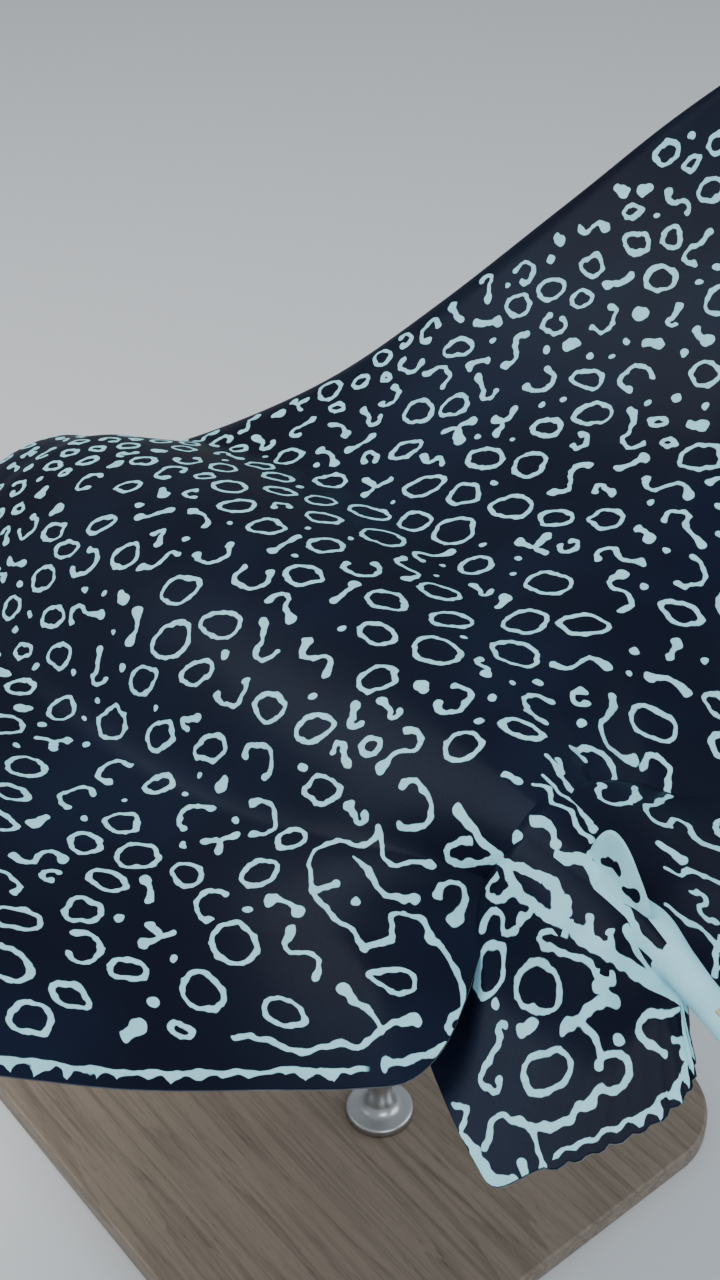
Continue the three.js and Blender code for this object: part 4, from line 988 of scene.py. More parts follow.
def scatter_marks(laid):
    """Marks over the back: each next one starts in the widest gap, and shrinks until it is clear.

    The gaps are compared as shares of the spacing, which closes up towards the head and the wings'
    leading edges."""
    place, trailing, leading = (skin[k] * DISC_WIDTH for k in ("place", "trailing", "leading"))
    end = np.where(np.abs(place[:, 0]) > RIDGE_HALF, MARKS_TO, RIDGE_MARKS_TO)
    free = (skin["under"] < 0.5) & (skin["share"] <= 1) & (place[:, 1] > MARKS_FROM) & (place[:, 1] < end)
    free &= (trailing[:, 0] > BARE_TRAILING) & (leading > BARE_LEADING)
    spots = place[free][::2]
    growth = ease(spots[:, 1], (0.14, 0.28))
    growth = growth * (EDGE_SHARE + (1 - EDGE_SHARE) * ease(leading[free][::2], (0.03, 0.19)))
    spacing = HEAD_SPACING + (MARK_SPACING - HEAD_SPACING) * growth
    taken = samples_of(laid).reshape(-1, 3)
    gap = np.full(len(spots), np.inf)
    for point in taken:
        gap = np.minimum(gap, np.hypot(*(spots - point[:2]).T) + 0.012)
    marks = []
    while (gap / spacing).max() > LEAST_GAP:
        pick = np.argmax(np.where(np.isinf(gap), chance.uniform(5, 6, len(gap)), gap / spacing))
        gap = np.minimum(gap, np.hypot(*(spots - spots[pick]).T))
        mark, taken = fit_mark(spots[pick], 0.45 * spacing[pick], KIND_SHARES, taken)
        marks += mark
    return marks, spots, taken


def fit_mark(centre, size, kind_shares, taken):
    """A mark near the centre that shrinks and turns until it is clear of what is there, if it can."""
    near = points_near(taken, centre, 0.13)
    for attempt in range(TRIES):
        if attempt % TRIES_A_KIND == 0:
            kind = chance.choice(KINDS, p=kind_shares)
        middle = centre + chance.uniform(-0.3, 0.3, 2) * size
        mark = random_mark(kind, size * chance.uniform(0.85, 1.0))
        spread = MARK_SPREAD if kind == "ring" else 3 * MARK_SPREAD
        turn = MARK_SLANT + chance.uniform(-spread, spread) + np.pi * chance.integers(2)
        mark = turned_to(mark, turn, middle)
        if clearance(mark, near) > MARK_CLEARANCE:
            hole = [[*middle, 0.5 * size]] if kind in ("ring", "crescent") else np.empty((0, 3))
            return [mark], np.vstack([taken, samples_of([mark])[0], hole])
        size *= SHRINKING
    return [], taken


def fill_gaps(spots, taken):
    """Small marks, then dots, where the skin is still bare."""
    found = []
    for centre in chance.permutation(spots)[:SMALL_TRIES]:
        near = points_near(taken, centre, 0.08)
        if clearance(np.array([[*centre, 0.002]] * 2), near) > SMALL_ROOM:
            mark, taken = fit_mark(centre, SMALL_SIZE, SMALL_SHARES, taken)
            found += mark
    for centre in chance.permutation(spots)[:DOT_TRIES]:
        near = points_near(taken, centre, 0.08)
        dot = np.array([[*centre, chance.uniform(0.0012, 0.0034)]] * LINE_POINTS)
        if clearance(dot, near) > DOT_ROOM:
            found.append(dot)
            taken = np.vstack([taken, dot[:1] + [0, 0, 0.006]])
    return found


laid = [long_line(points) for points in LEFT_LINES + RIDGE_LINES]
laid += [long_line(points, -1.0) for points in RIGHT_LINES]
marks, bare_spots, taken_points = scatter_marks(laid)
marks += fill_gaps(bare_spots, taken_points)
marks += [long_line(points, 1, PELVIC_METRES) for points in FIN_LINES]
marks += [long_line(points, -1, PELVIC_METRES) for points in RIGHT_FIN_LINES + FIN_LINES[ON_BOTH_FINS]]
marks += [long_line(points, 1, DORSAL_METRES) for points in DORSAL_HOLES]
marks += [long_line(points, 1, DORSAL_METRES) - [DORSAL_FACES_APART * DISC_WIDTH, 0, 0]
          for points in DORSAL_HOLES]
for side, rings in ((1, FIN_RINGS), (-1, RIGHT_FIN_RINGS)):
    for across, along, half_length, half_width, turn in rings:
        mark = turned_to(ring(half_length / 1000, half_width / half_length, 0.1), side * turn, [0, 0])
        marks.append(mark + [side * (PELVIC_METRES + across / 1000), along / 1000, 0])
marks = np.array(laid + marks)


def two_nearest(places):
    """For each place, the numbers of the nearest and second nearest mark, or -1."""
    numbers = np.full((2, len(places)), -1)
    gaps = np.full((2, len(places)), MARK_REACH)
    for number, mark in enumerate(marks):
        low, high = mark[:, :2].min(0) - MARK_REACH, mark[:, :2].max(0) + MARK_REACH
        close = np.flatnonzero(((places > low) & (places < high)).all(1))
        here = places[close][:, None]
        start, step = mark[:-1, :2], np.diff(mark[:, :2], axis=0)
        share = ((here - start) * step).sum(-1) / np.maximum((step ** 2).sum(-1), 1e-12)
        share = np.clip(share, 0, 1)[..., None]
        gap = (np.linalg.norm(here - start - share * step, axis=-1) - mark[:-1, 2]).min(1)
        first = gap < gaps[0, close]
        second = ~first & (gap < gaps[1, close])
        moved = close[first]
        gaps[1, moved], numbers[1, moved] = gaps[0, moved], numbers[0, moved]
        gaps[0, moved], numbers[0, moved] = gap[first], number
        gaps[1, close[second]], numbers[1, close[second]] = gap[second], number
    return numbers


skin_faces = [skin_quads, skin_triangles]
face_under = np.concatenate([skin["under"][f].mean(1) for f in skin_faces])
face_places = np.concatenate([skin["place"][f].mean(1) for f in skin_faces]) * DISC_WIDTH
face_places[face_under > 0.01] = FAR_AWAY
face_marks = two_nearest(face_places)
far_mark = np.full((1, LINE_POINTS, 3), FAR_AWAY) * [1, 1, 0]
marks = np.concatenate([marks, far_mark])


def slopes_of(marks):
    """How a line bends at each of its points: the tangent of half its turn there, and 0 at a sharp
    corner or at an open end."""
    steps = np.diff(marks[:, :, :2], axis=1)
    joined = np.linalg.norm(marks[:, 0, :2] - marks[:, -1, :2], axis=1) < 1e-6
    before = np.concatenate([np.where(joined[:, None, None], steps[:, -1:], 0), steps], 1)
    after = np.concatenate([steps, np.where(joined[:, None, None], steps[:, :1], 0)], 1)
    cross = before[..., 0] * after[..., 1] - before[..., 1] * after[..., 0]
    turn = np.arctan2(cross, (before * after).sum(-1))
    return np.where(np.abs(turn) > SHARP_TURN, 0, np.tan(turn / 2))


marks = np.concatenate([marks, slopes_of(marks)[..., None]], -1)

# ---- The skin's finish -----------------------------------------------------------------------------
# Smooth wet hide over cartilage and muscle: blue-black above with pale markings, white below with
# dusky edges, and a pale tail that darkens towards its tip. The pigment lies in the hide itself; the
# dark in the folds' creases and inside the openings is painted shade.

DARK_HIDE = (0.0036, 0.0042, 0.0120, 1)
# A painted bluish sheen, blended into the dark hide in broad clouds.
PAINTED_SHEEN_HIDE = (0.0058, 0.0098, 0.0250, 1)
PALE_MARK = (0.39, 0.82, 0.94, 1)
DIM_MARK = (0.39 * 0.86, 0.82 * 0.86, 0.94 * 0.86, 1)
BELLY = (0.76, 0.77, 0.76, 1)
GREY_BELLY = (0.62, 0.65, 0.66, 1)
DUSKY_BELLY = (0.10, 0.12, 0.15, 1)
DARK_TAIL = (0.03, 0.037, 0.055, 1)
# Painted shade, in the creases of the folds and inside the spiracles, gills, mouth, nostrils and vent.
DEEP_SHADE = (0.004, 0.003, 0.004, 1)  # inside the spiracles, the gills and the mouth
PALE_TAIL_FROM = (1.085, 1.122)  # metres along, on the right and on the left
WHITE_BELOW_TO = 0.66  # share along, where the tail's underside turns dark


def node_group(name, inputs, outputs):
    """A shader node group with named sockets, its input node and its output node."""
    group = bpy.data.node_groups.new(name, "ShaderNodeTree")
    for direction, sockets in (("INPUT", inputs), ("OUTPUT", outputs)):
        for socket, kind in sockets:
            group.interface.new_socket(socket, in_out=direction, socket_type="NodeSocket" + kind)
    return group, group.nodes.new("NodeGroupInput"), group.nodes.new("NodeGroupOutput")


def feed(tree, socket, value):
    """Joins the output of a node to a socket, or sets a number or a colour on it."""
    if isinstance(value, bpy.types.NodeSocket):
        tree.links.new(value, socket)
    else:
        socket.default_value = value


def maths(tree, operation, first, second=0.0, third=0.0, clamp=False):
    """A Math node whose inputs are sockets or numbers; gives its output."""
    node = tree.nodes.new("ShaderNodeMath")
    node.operation = operation
    node.use_clamp = clamp
    for socket, value in zip(node.inputs, (first, second, third)):
        feed(tree, socket, value)
    return node.outputs[0]


def vector_maths(tree, operation, first, second=(0, 0, 0), third=(0, 0, 0), scale=1.0):
    """A Vector Math node whose inputs are sockets or triples; gives its output."""
    node = tree.nodes.new("ShaderNodeVectorMath")
    node.operation = operation
    for socket, value in zip(node.inputs, (first, second, third, scale)):
        feed(tree, socket, value)
    return node.outputs["Value" if operation in ("DOT_PRODUCT", "LENGTH") else "Vector"]


def split(tree, vector):
    """The three parts of a vector."""
    node = tree.nodes.new("ShaderNodeSeparateXYZ")
    tree.links.new(vector, node.inputs[0])
    return node.outputs


def fade(tree, value, low, high):
    """0 below low and 1 above high, smoothly; low may be the greater one."""
    node = tree.nodes.new("ShaderNodeMapRange")
    node.interpolation_type = "SMOOTHSTEP"
    for socket, number in zip(("From Min", "From Max"), (low, high)):
        feed(tree, node.inputs[socket], number)
    tree.links.new(value, node.inputs["Value"])
    return node.outputs[0]


def blend(tree, share, first, second):
    """A colour mixed between two, each a socket or a colour."""
    node = tree.nodes.new("ShaderNodeMix")
    node.data_type = "RGBA"
    for name, value in (("Factor_Float", share), ("A_Color", first), ("B_Color", second)):
        feed(tree, next(s for s in node.inputs if s.identifier == name), value)
    return next(s for s in node.outputs if s.identifier == "Result_Color")


def noise(tree, vector, scale, detail=2.0, roughness=0.5):
    """The outputs of a Noise Texture node."""
    node = tree.nodes.new("ShaderNodeTexNoise")
    node.inputs["Scale"].default_value = scale
    node.inputs["Detail"].default_value = detail
    node.inputs["Roughness"].default_value = roughness
    tree.links.new(vector, node.inputs["Vector"])
    return node.outputs


def attribute(tree, name, *outputs):
    """The named outputs of an Attribute node, or its Vector."""
    node = tree.nodes.new("ShaderNodeAttribute")
    node.attribute_name = name
    return [node.outputs[output] for output in outputs] if outputs else node.outputs["Vector"]


def finish(tree, shader, values, height, strength, distance, sunk=False):
    """Gives the shader its sockets or numbers, and a normal from a bump of the given height."""
    for name, value in values.items():
        feed(tree, shader.inputs[name], value)
    bump = tree.nodes.new("ShaderNodeBump")
    bump.inputs["Strength"].default_value = strength
    bump.inputs["Distance"].default_value = distance
    bump.invert = sunk
    tree.links.new(height, bump.inputs["Height"])
    tree.links.new(bump.outputs[0], shader.inputs["Normal"])


SMOOTH_JOIN = 0.0030  # over which two lines run into each other
HAND_ON = 1e-6
MARK_EDGE = 0.0004  # half of a mark's soft edge
WANDER = 0.0090  # by which the marks' edges wander, from end to end
MARGIN_LINE, MARGIN_LINE_WIDTH = 0.0130, 0.0034  # how far in from the trailing margin, and how wide


def capsule_group():
    """The smooth least of the gap before and the distance from a place to a bent line between two points.

    The line's half width runs between the points' third numbers. With t along the chord, it lies beside
    the chord by -t (1 - t) (first slope (1 - t) + second slope t) of its length. The place is handed on
    moved by next to nothing, so that the lines are worked out in turn and the shader holds few values."""
    group, given, result = node_group(
        "line of pigment",
        [("Place", "Vector"), ("Gap", "Float"), ("From", "Vector"), ("First Slope", "Float"),
         ("To", "Vector"), ("Second Slope", "Float")], [("Place", "Vector"), ("Gap", "Float")])
    place, before, start, first_slope, end, second_slope = given.outputs[:6]
    flat = (1, 1, 0)
    past = vector_maths(group, "SUBTRACT", place, start)
    whole = vector_maths(group, "ADD", past, vector_maths(group, "SUBTRACT", end, place))
    step = vector_maths(group, "MULTIPLY", whole, flat)
    reach = vector_maths(group, "MULTIPLY", past, flat)
    share = maths(group, "DIVIDE", vector_maths(group, "DOT_PRODUCT", reach, step),
                  vector_maths(group, "DOT_PRODUCT", step, step), clamp=True)
    rest = maths(group, "SUBTRACT", 1.0, share)
    slope = maths(group, "ADD", maths(group, "MULTIPLY", first_slope, rest),
                  maths(group, "MULTIPLY", second_slope, share))
    bow = maths(group, "MULTIPLY", maths(group, "MULTIPLY", share, rest), slope)
    beside = vector_maths(group, "SCALE", vector_maths(group, "CROSS_PRODUCT", step, (0, 0, 1)), scale=bow)
    nearest = vector_maths(group, "ADD", vector_maths(group, "SCALE", step, scale=share), beside)
    gap = vector_maths(group, "LENGTH", vector_maths(group, "SUBTRACT", reach, nearest))
    covered = vector_maths(group, "SCALE", whole, scale=share)
    half = split(group, vector_maths(group, "ADD", start, covered))[2]
    gap = maths(group, "SMOOTH_MIN", before, maths(group, "SUBTRACT", gap, half), SMOOTH_JOIN)
    group.links.new(gap, result.inputs["Gap"])
    moved = vector_maths(group, "ADD", place, vector_maths(
        group, "SCALE", flat, scale=maths(group, "MULTIPLY", gap, HAND_ON)))
    group.links.new(moved, result.inputs["Place"])
    return group


def mark_gap(tree, place, prefixes):
    """Distance to the nearest marks: the smooth least of the distances to their lines."""
    capsule = capsule_group()
    gap = 1.0
    for prefix in prefixes:
        start = attribute(tree, f"{prefix}_0", "Vector", "Alpha")
        for i in range(1, LINE_POINTS):
            end = attribute(tree, f"{prefix}_{i}", "Vector", "Alpha")
            node = tree.nodes.new("ShaderNodeGroup")
            node.node_tree = capsule
            for socket, value in zip(node.inputs, [place, gap] + start + end):
                feed(tree, socket, value)
            place, gap = node.outputs
            start = end
    return gap


def hide_material():
    """Marks and margin lines over the dark ground, painted shade in the hollows, and a fine wet grain."""
    material, tree, shader = new_material("spotted hide")
    place = attribute(tree, "skin_place")
    trailing, run, leading = split(tree, attribute(tree, "skin_margins"))
    under, pale_past, upright = split(tree, attribute(tree, "skin_regions"))
    coordinates = tree.nodes.new("ShaderNodeTexCoord").outputs["Object"]

    # The marks' edges wander by about a millimetre.
    wander = noise(tree, place, 62.0, 1.0)["Color"]
    shift = vector_maths(tree, "MULTIPLY_ADD", wander, (WANDER, WANDER, 0), (-WANDER / 2, -WANDER / 2, 0))
    moved = vector_maths(tree, "ADD", place, shift)
    gap = mark_gap(tree, moved, ("near", "next"))
    swell = noise(tree, place, 150.0, 1.0)["Fac"]
    gap = maths(tree, "ADD", gap, maths(tree, "MULTIPLY", maths(tree, "SUBTRACT", swell, 0.5), 0.0012))
    mark = fade(tree, gap, MARK_EDGE, -MARK_EDGE)

    # A pale line runs inside the trailing margin, with teeth towards it.
    rough = noise(tree, place, 45.0, 2.0)["Fac"]
    tooth = maths(tree, "MULTIPLY", maths(tree, "MULTIPLY_ADD", rough, 0.030, run), np.pi / TOOTH_STEP)
    tooth = maths(tree, "ABSOLUTE", maths(tree, "SINE", tooth))
    tooth = maths(tree, "SUBTRACT", 1.0, tooth)
    patchy = fade(tree, noise(tree, place, 14.0, 1.0)["Fac"], 0.36, 0.60)
    tooth = maths(tree, "MULTIPLY", tooth, maths(tree, "MULTIPLY_ADD", patchy, 0.0068, 0.0008))
    inner = maths(tree, "MULTIPLY", maths(tree, "SUBTRACT", rough, 0.5), 0.008)
    inner = maths(tree, "ADD", MARGIN_LINE, inner)
    outer = maths(tree, "SUBTRACT", maths(tree, "SUBTRACT", inner, MARGIN_LINE_WIDTH), tooth)
    line = maths(tree, "MULTIPLY",
                 fade(tree, maths(tree, "SUBTRACT", trailing, outer), -MARK_EDGE, MARK_EDGE),
                 fade(tree, maths(tree, "SUBTRACT", inner, trailing), -MARK_EDGE, MARK_EDGE))
    line = maths(tree, "MULTIPLY", line, fade(tree, run, MARGIN_LINE_FROM - 0.006, MARGIN_LINE_FROM))
    mark = maths(tree, "MAXIMUM", mark, line)

    # Ground: dark hide with a painted bluish sheen in broad clouds, pale on the tail and the dorsal fin.
    clouds = noise(tree, coordinates, 5.0, 3.0)["Fac"]
    grain = noise(tree, coordinates, 420.0, 3.0, 0.6)["Fac"]
    dark = blend(tree, fade(tree, clouds, 0.35, 0.75), DARK_HIDE, PAINTED_SHEEN_HIDE)
    tint = blend(tree, fade(tree, noise(tree, coordinates, 38.0, 3.0)["Fac"], 0.3, 0.7),
                 PALE_MARK, DIM_MARK)
    behind = split(tree, place)[1]
    tail_tone = blend(tree, fade(tree, maths(tree, "ADD", behind, maths(tree, "MULTIPLY", clouds, 0.5)),
                                 1.75, 2.7), tint, DARK_TAIL)
    # On the dorsal fin the ground is pale and the marks are dark.
    pale = fade(tree, maths(tree, "MULTIPLY_ADD", rough, 0.020, pale_past), 0.0090, 0.0102)
    shown = maths(tree, "MAXIMUM", pale, mark)
    holes = maths(tree, "MULTIPLY", upright, mark)
    shown = maths(tree, "SUBTRACT", maths(tree, "MAXIMUM", shown, upright), holes)
    top = blend(tree, shown, dark, tail_tone)
    dusk = maths(tree, "ADD", fade(tree, maths(tree, "ADD", trailing, maths(tree, "MULTIPLY", rough, 0.03)),
                                   0.040, 0.012),
                 maths(tree, "MULTIPLY", fade(tree, leading, 0.03, 0.0), 0.6), clamp=True)
    belly = blend(tree, fade(tree, clouds, 0.3, 0.8), BELLY, GREY_BELLY)
    belly = blend(tree, dusk, belly, DUSKY_BELLY)
    colour = blend(tree, fade(tree, under, 0.25, 0.75), top, belly)
    # Painted shade: the folds' creases and the openings darken towards DEEP_SHADE.
    colour = blend(tree, *attribute(tree, "skin_painted_shade", "Fac"), colour, DEEP_SHADE)
    roughness = maths(tree, "MULTIPLY_ADD", grain, 0.16, 0.38)
    roughness = maths(tree, "ADD", roughness, maths(tree, "MULTIPLY", shown, 0.06))
    finish(tree, shader, {
        "Base Color": colour, "Roughness": roughness, "Coat Weight": 0.02, "Coat Roughness": 0.22,
        "Specular IOR Level": 0.11, "Specular Tint": (0.55, 0.72, 1.0, 1)}, grain, 0.22, 0.0006)
    return material


ATTRIBUTE_KINDS = {1: ("FLOAT", "value"), 3: ("FLOAT_VECTOR", "vector"), 4: ("FLOAT_COLOR", "color")}


def give_attribute(piece, name, values, domain="POINT"):
    """Writes a number, a triple or four numbers for each vertex or face of a piece."""
    values = np.asarray(values, np.float32).reshape(len(values), -1)
    kind, key = ATTRIBUTE_KINDS[values.shape[1]]
    piece.data.attributes.new(name, kind, domain).data.foreach_set(key, values.ravel())


skin_object = new_object("skin", posed(skin["level"]), skin_faces)
give_attribute(skin_object, "skin_place", np.column_stack([
    skin["place"] * DISC_WIDTH, np.zeros(len(skin["along"]))]))
give_attribute(skin_object, "skin_margins",
               np.column_stack([skin["trailing"], skin["leading"]]) * DISC_WIDTH)
pale_from = np.where(skin["side"] < 0, *PALE_TAIL_FROM)
pale_past = np.where(skin["share"] < PELVIC_SHARE, skin["along"] * DISC_WIDTH - pale_from, -1.0)
under = skin["under"] * ((skin["along"] < WHITE_BELOW_TO) | (skin["share"] == PELVIC_SHARE))
give_attribute(skin_object, "skin_regions",
               np.column_stack([under, pale_past, skin["share"] == DORSAL_SHARE]))
give_attribute(skin_object, "skin_painted_shade", skin["hollow"])
for prefix, numbers in zip(("near", "next"), face_marks):
    for i in range(LINE_POINTS):
        give_attribute(skin_object, f"{prefix}_{i}", marks[numbers, i], "FACE")
skin_object.data.materials.append(hide_material())
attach(skin_object, "root")
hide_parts("snout", "head", "trunk", "wing_left", "wing_right", "pelvic_fin_left",
            "pelvic_fin_right", "dorsal_fin", "tail_1", "tail_2", "tail_3", "tail_4")

# ---- The eyes --------------------------------------------------------------------------------------
# Each eyeball is a glass dome as taxidermists set it: a black pupil hung with a lobe from above, in a
# dark iris with bronze flecks, under a clear wet cornea. It sits in the lids with its back in the head.

EYE_CENTRE = (0.0500, 0.071, 0.006)
EYE_RADII = (0.0085, 0.0092, 0.0085)
CORNEA_RISE = 0.0004
EYE_STEPS = (30, 56)
IRIS = (0.012, 0.010, 0.008, 1)
IRIS_FLECK = (0.050, 0.040, 0.024, 1)
SCLERA = (0.022, 0.024, 0.030, 1)
PUPIL = (0.002, 0.002, 0.003, 1)


def eye_material():
    """Rings by the angle from the line of sight, which the attribute holds as degrees back and up."""
    material, tree, shader = new_material("glass eye")
    gaze = attribute(tree, "gaze")
    angle = vector_maths(tree, "LENGTH", gaze)
    flecks = noise(tree, vector_maths(tree, "NORMALIZE", gaze), 16.0, 4.0, 0.7)["Fac"]
    mottle = noise(tree, gaze, 0.35, 2.0)["Fac"]
    iris = blend(tree, maths(tree, "MULTIPLY", fade(tree, flecks, 0.42, 0.72), fade(tree, mottle, 0.3, 0.7)),
                 IRIS, IRIS_FLECK)
    iris = blend(tree, fade(tree, angle, 30.0, 36.0), iris, SCLERA)
    wide = vector_maths(tree, "LENGTH", vector_maths(tree, "MULTIPLY", gaze, (1 / 17, 1 / 14, 0)))
    lobe = vector_maths(tree, "LENGTH", vector_maths(
        tree, "MULTIPLY", vector_maths(tree, "SUBTRACT", gaze, (0, 8.5, 0)), (1 / 10, 1 / 9, 0)))
    pupil = maths(tree, "MULTIPLY", fade(tree, wide, 1.03, 0.97), fade(tree, lobe, 0.95, 1.05))
    for name, value in {
            "Base Color": blend(tree, pupil, iris, PUPIL),
            "Roughness": maths(tree, "MULTIPLY_ADD", mottle, 0.10, 0.16),
            "Specular IOR Level": 0.10, "Coat Weight": 0.42, "Coat Roughness": 0.03}.items():
        feed(tree, shader.inputs[name], value)
    return material


def closed_piece(name, places, turned, settle=None, smooth=True, **held):
    """A piece from a grid of places whose doubles are merged, then settled in the world; its vertices
    hold the other grids under their names."""
    grids = {"level": places, **held}
    numbers = np.arange(places[..., 0].size).reshape(places.shape[:2])
    fields, quads, triangles = weld({key: grid.reshape(-1, 3) for key, grid in grids.items()},
                                    quads_of(numbers, turned))
    level = fields.pop("level")
    piece = new_object(name, settle(level) if settle else level, [quads, triangles], smooth)
    for key, values in fields.items():
        give_attribute(piece, key, values)
    return piece


def eyeball(side, material):
    """An ellipsoid in rings about the line of sight, its front swelled by the cornea."""
    _, by_turn, by_along, sight = slopes_at(np.array(side * EYE_PLACE[0]), np.array(EYE_PLACE[1]))
    back = by_along / np.linalg.norm(by_along)
    up = np.cross(sight, back) * -side
    polar = np.linspace(0, np.pi, EYE_STEPS[0])[:, None, None]
    ring_turn = np.linspace(0, 2 * np.pi, EYE_STEPS[1] + 1)[:, None]
    flat = np.cos(ring_turn) * back + np.sin(ring_turn) * up
    reach = np.cos(polar) * sight + np.sin(polar) * flat
    level = np.array(EYE_CENTRE) * [side, 1, 1] + reach * EYE_RADII
    level = level + sight * CORNEA_RISE * (1 - smooth_step(polar / 0.6))
    gaze = np.degrees(polar) * np.concatenate(
        [np.cos(ring_turn), np.sin(ring_turn), np.zeros_like(ring_turn)], -1)
    name = "left" if side == 1 else "right"
    eye = closed_piece(f"eyeball_{name}", level, side == 1, posed, gaze=gaze)
    eye.data.materials.append(material)
    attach(eye, "root")
    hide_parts(f"eye_{name}")


glass_eye = eye_material()
for side in (1, -1):
    eyeball(side, glass_eye)

# ---- The sting -------------------------------------------------------------------------------------
# A spine of bone-like dentine lies on the tail behind the dorsal fin, rooted in its skin: flat, with a
# groove down its back and barbs along both edges that point towards the body.

STING_ALONG = 0.698
STING_LENGTH = 0.108
STING_HALF_WIDTH = 0.00425
STING_THICKNESS = 0.0026
STING_LIFT = 0.0035  # of the tip over the tail
BARBS = 16
BARE_STEPS = 4  # barb lengths without barbs at the root, and two at the tip
BARB_DEPTH = 0.0010
STING_STEPS = (10, 28)  # along each barb, and round the section
DENTINE = (0.50, 0.43, 0.28, 1)
DENTINE_DARK = (0.20, 0.15, 0.085, 1)


def dentine_material():
    """Bone colour streaked along the spine and darker in its groove."""
    material, tree, shader = new_material("dentine")
    run = attribute(tree, "sting_place")
    streak = noise(tree, vector_maths(tree, "MULTIPLY", run, (900, 60, 900)), 1.0, 3.0)["Fac"]
    height = split(tree, run)[2]
    groove = fade(tree, height, 0.0012, 0.0004)
    darkening = maths(tree, "ADD", maths(tree, "MULTIPLY", fade(tree, streak, 0.45, 0.75), 0.55),
                  maths(tree, "MULTIPLY", groove, 0.35), clamp=True)
    finish(tree, shader, {"Base Color": blend(tree, darkening, DENTINE, DENTINE_DARK),
                          "Roughness": maths(tree, "MULTIPLY_ADD", streak, 0.25, 0.32)}, streak, 0.35, 0.0003)
    return material


def sting():
    """A lens-shaped section carried from root to tip: its half width falls as sqrt(1 - t^2), less a
    sawtooth whose sharp side faces the root."""
    count = (BARBS + BARE_STEPS + 2) * STING_STEPS[0]
    y = np.linspace(-0.02, 1, count + 1)[:, None]
    phase = y * (BARBS + BARE_STEPS + 2) - BARE_STEPS
    barbed = (phase > 0) & (phase < BARBS + 1)
    saw = np.where(barbed, (phase % 1) ** 0.8, 0.35 * smooth_step((phase + 2) / 2))
    fullness = np.sqrt(np.maximum(0, 1 - np.clip(y, 0, 1) ** 2))
    half = STING_HALF_WIDTH * fullness
    half = half - np.minimum(BARB_DEPTH * saw, 0.6 * half)
    angle = np.linspace(0, 2 * np.pi, STING_STEPS[1] + 1)[None, :]
    x = half * np.cos(angle)
    groove = 0.45 * np.exp(-(np.cos(angle) / 0.28) ** 2) * (np.sin(angle) > 0)
    z = STING_THICKNESS / 2 * np.sin(angle) * (1 - groove) * np.minimum(1, 1.6 * fullness)
    y = np.broadcast_to(y * STING_LENGTH, x.shape)
    root, tip = STING_ALONG, STING_ALONG + STING_LENGTH / DISC_WIDTH
    aim = np.arctan2(tail_swing(tip) - tail_swing(root), tip - root)
    ridge = [(body_value(CENTRE, at) + body_value(ABOVE, at)) * DISC_WIDTH for at in (root, tip)]
    rise = np.arctan2(ridge[1] + STING_LIFT - ridge[0], STING_LENGTH)
    forward = y * np.cos(rise) - z * np.sin(rise)
    level = np.stack([
        x * np.cos(aim) + forward * np.sin(aim) + tail_swing(root) * DISC_WIDTH,
        forward * np.cos(aim) - x * np.sin(aim) + root * DISC_WIDTH,
        y * np.sin(rise) + z * np.cos(rise) + ridge[0] - 0.0008 + STING_THICKNESS / 2], -1) / DISC_WIDTH
    # Its root end is closed by a first row at one place.
    level, run = (np.concatenate([np.repeat(grid[:1, :1], grid.shape[1], axis=1), grid])
                  for grid in (level, np.stack([x, y, z], -1)))
    return closed_piece("sting_spine", level, False, posed, smooth=False, sting_place=run)


spine = sting()
spine.data.materials.append(dentine_material())
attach(spine, "root")
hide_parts("sting")

# ---- The stand -------------------------------------------------------------------------------------
# A base board of limed oak with eased edges, and two turned steel rods screwed down through flared
# feet, whose tops are let into the belly. The board is oiled, the steel brushed round the rods.

BASE_CORNER = 0.090
BASE_EASE = 0.004
BASE_BORDER = 0.030  # inset of the last row on the top, so that the wide middle faces stay flat
CORNER_STEPS, EASE_STEPS = 24, 5
OAK = (0.235, 0.185, 0.140, 1)
OAK_DARK = (0.085, 0.062, 0.045, 1)
ROD_RADIUS = 0.013
ROD_ROUND = 64
BRUSHED_STEEL = (0.56, 0.57, 0.58, 1)
DULL_STEEL = (0.448, 0.456, 0.464, 1)


def oak_material():
    """Long grain, fine pores and broad growth bands, all drawn out along the board."""
    material, tree, shader = new_material("limed oak")
    place = tree.nodes.new("ShaderNodeTexCoord").outputs["Object"]
    bands = noise(tree, vector_maths(tree, "MULTIPLY", place, (16, 1.1, 16)), 1.0, 3.0)["Fac"]
    grain = noise(tree, vector_maths(tree, "MULTIPLY", place, (260, 6, 260)), 1.0, 4.0, 0.6)["Fac"]
    pores = noise(tree, vector_maths(tree, "MULTIPLY", place, (1400, 45, 1400)), 1.0, 2.0)["Fac"]
    rings = maths(tree, "FRACT", maths(tree, "MULTIPLY_ADD", bands, 9.0, maths(tree, "MULTIPLY", grain, 0.5)))
    shade = maths(tree, "ADD", maths(tree, "MULTIPLY", fade(tree, rings, 0.35, 1.0), 0.35),
                  maths(tree, "MULTIPLY", fade(tree, grain, 0.42, 0.72), 0.35))
    shade = maths(tree, "ADD", shade, maths(tree, "MULTIPLY", fade(tree, pores, 0.60, 0.70), 0.5), clamp=True)
    finish(tree, shader, {"Base Color": blend(tree, shade, OAK, OAK_DARK),
                          "Roughness": maths(tree, "MULTIPLY_ADD", shade, 0.16, 0.40)},
           shade, 0.25, 0.0004, sunk=True)
    return material


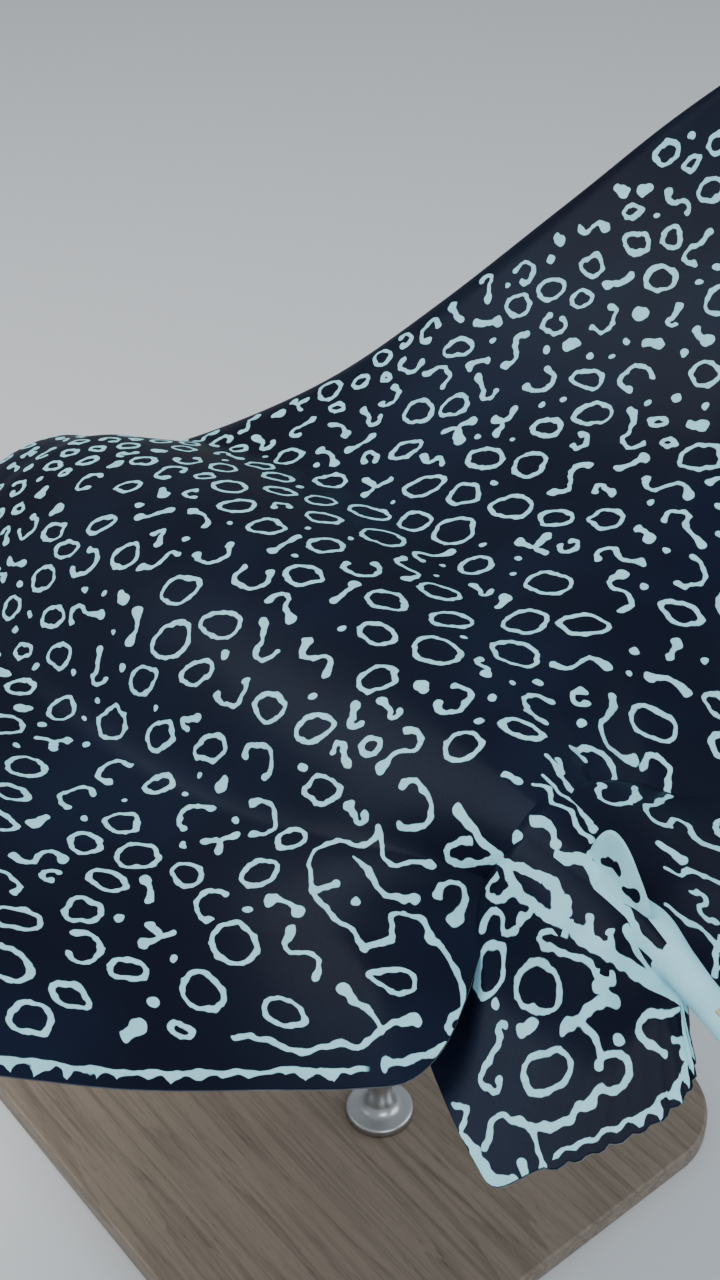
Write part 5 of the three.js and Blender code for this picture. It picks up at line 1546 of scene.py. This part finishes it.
def base_board():
    """An eased edge profile carried round a rectangle with round corners, closed on its two middles."""
    high = np.array(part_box("stand_base")[1])
    turn = np.linspace(0, np.pi / 2, EASE_STEPS + 1)
    low_ease, high_ease = BASE_EASE * (1 - np.sin(turn)), BASE_EASE * (1 - np.cos(turn))
    # Rows of the inset from the board's outline and the height; an endless inset is the middle.
    inset = [[np.inf, BASE_EASE], low_ease, high_ease, [BASE_EASE, BASE_BORDER, np.inf]]
    inset = np.concatenate(inset)[:, None]
    height = np.concatenate([[0, 0], high_ease, high[2] - low_ease, [high[2]] * 3])[:, None]
    corner = (np.arange(4)[:, None] * np.pi / 2 + np.linspace(0, np.pi / 2, CORNER_STEPS + 1)).ravel()
    sign = np.repeat([[1, 1], [-1, 1], [-1, -1], [1, -1]], CORNER_STEPS + 1, axis=0)
    middle = (high[:2] - BASE_CORNER) * sign
    radius = np.maximum(BASE_CORNER - inset, 0)
    outward = np.where(np.isinf(inset), 0, 1)
    x = outward * (middle[:, 0] + radius * np.cos(corner))
    y = outward * (middle[:, 1] + radius * np.sin(corner))
    places = np.stack([x, y, np.broadcast_to(height, x.shape)], -1)
    board = closed_piece("base_board", np.concatenate([places, places[:, :1]], 1), True, smooth=False)
    # Only the eased edges are smooth: the other faces stand upright or lie flat.
    normals = np.empty(3 * len(board.data.polygons), np.float32)
    board.data.polygons.foreach_get("normal", normals)
    level_part = np.hypot(normals[0::3], normals[1::3])
    board.data.polygons.foreach_set("use_smooth", (level_part > 0.001) & (level_part < 0.999))
    return board


def steel_material():
    """Fine brush lines round the rod and a few broad smears."""
    material, tree, shader = new_material("brushed steel")
    place = tree.nodes.new("ShaderNodeTexCoord").outputs["Object"]
    brush = noise(tree, vector_maths(tree, "MULTIPLY", place, (90, 90, 2600)), 1.0, 3.0)["Fac"]
    smears = noise(tree, place, 26.0, 3.0)["Fac"]
    colour = blend(tree, brush, BRUSHED_STEEL, DULL_STEEL)
    rough = maths(tree, "ADD", maths(tree, "MULTIPLY_ADD", brush, 0.12, 0.20),
                  maths(tree, "MULTIPLY", smears, 0.10))
    finish(tree, shader, {"Base Color": colour, "Roughness": rough, "Metallic": 1.0}, brush, 0.12, 0.0001)
    return material


def rod(node):
    """A turned profile: a flared foot with a bead, the shaft and a collar under the belly."""
    low, high = (np.array(corner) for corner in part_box(node))
    foot = (high[0] - low[0]) / 2
    flare = np.linspace(0, 1, 12)
    radius = np.concatenate([
        [0, foot - 0.001, foot, foot, foot - 0.0005, foot - 0.002, foot - 0.004],
        ROD_RADIUS + (foot - 0.010 - ROD_RADIUS) * (1 - np.sin(flare * np.pi / 2)) ** 1.2,
        [ROD_RADIUS, ROD_RADIUS, 0]])
    height = np.concatenate([
        [0, 0, 0.001, 0.0075, 0.0090, 0.0100, 0.0104], 0.0108 + 0.020 * (1 - np.cos(flare * np.pi / 2)),
        [0.04, high[2] - low[2] + 0.004, high[2] - low[2] + 0.004]])
    angle = np.linspace(0, 2 * np.pi, ROD_ROUND + 1)
    centre = (low + high) / 2
    places = np.stack([
        centre[0] + radius[:, None] * np.cos(angle), centre[1] + radius[:, None] * np.sin(angle),
        low[2] + np.broadcast_to(height[:, None], (len(height), ROD_ROUND + 1))], -1)
    return closed_piece(node.replace("stand", "steel"), places, True)


board = base_board()
board.data.materials.append(oak_material())
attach(board, "root")
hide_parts("stand_base")
brushed_steel = steel_material()
for node in ("stand_rod_front", "stand_rod_rear"):
    steel = rod(node)
    steel.data.materials.append(brushed_steel)
    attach(steel, "root")
    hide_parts(node)
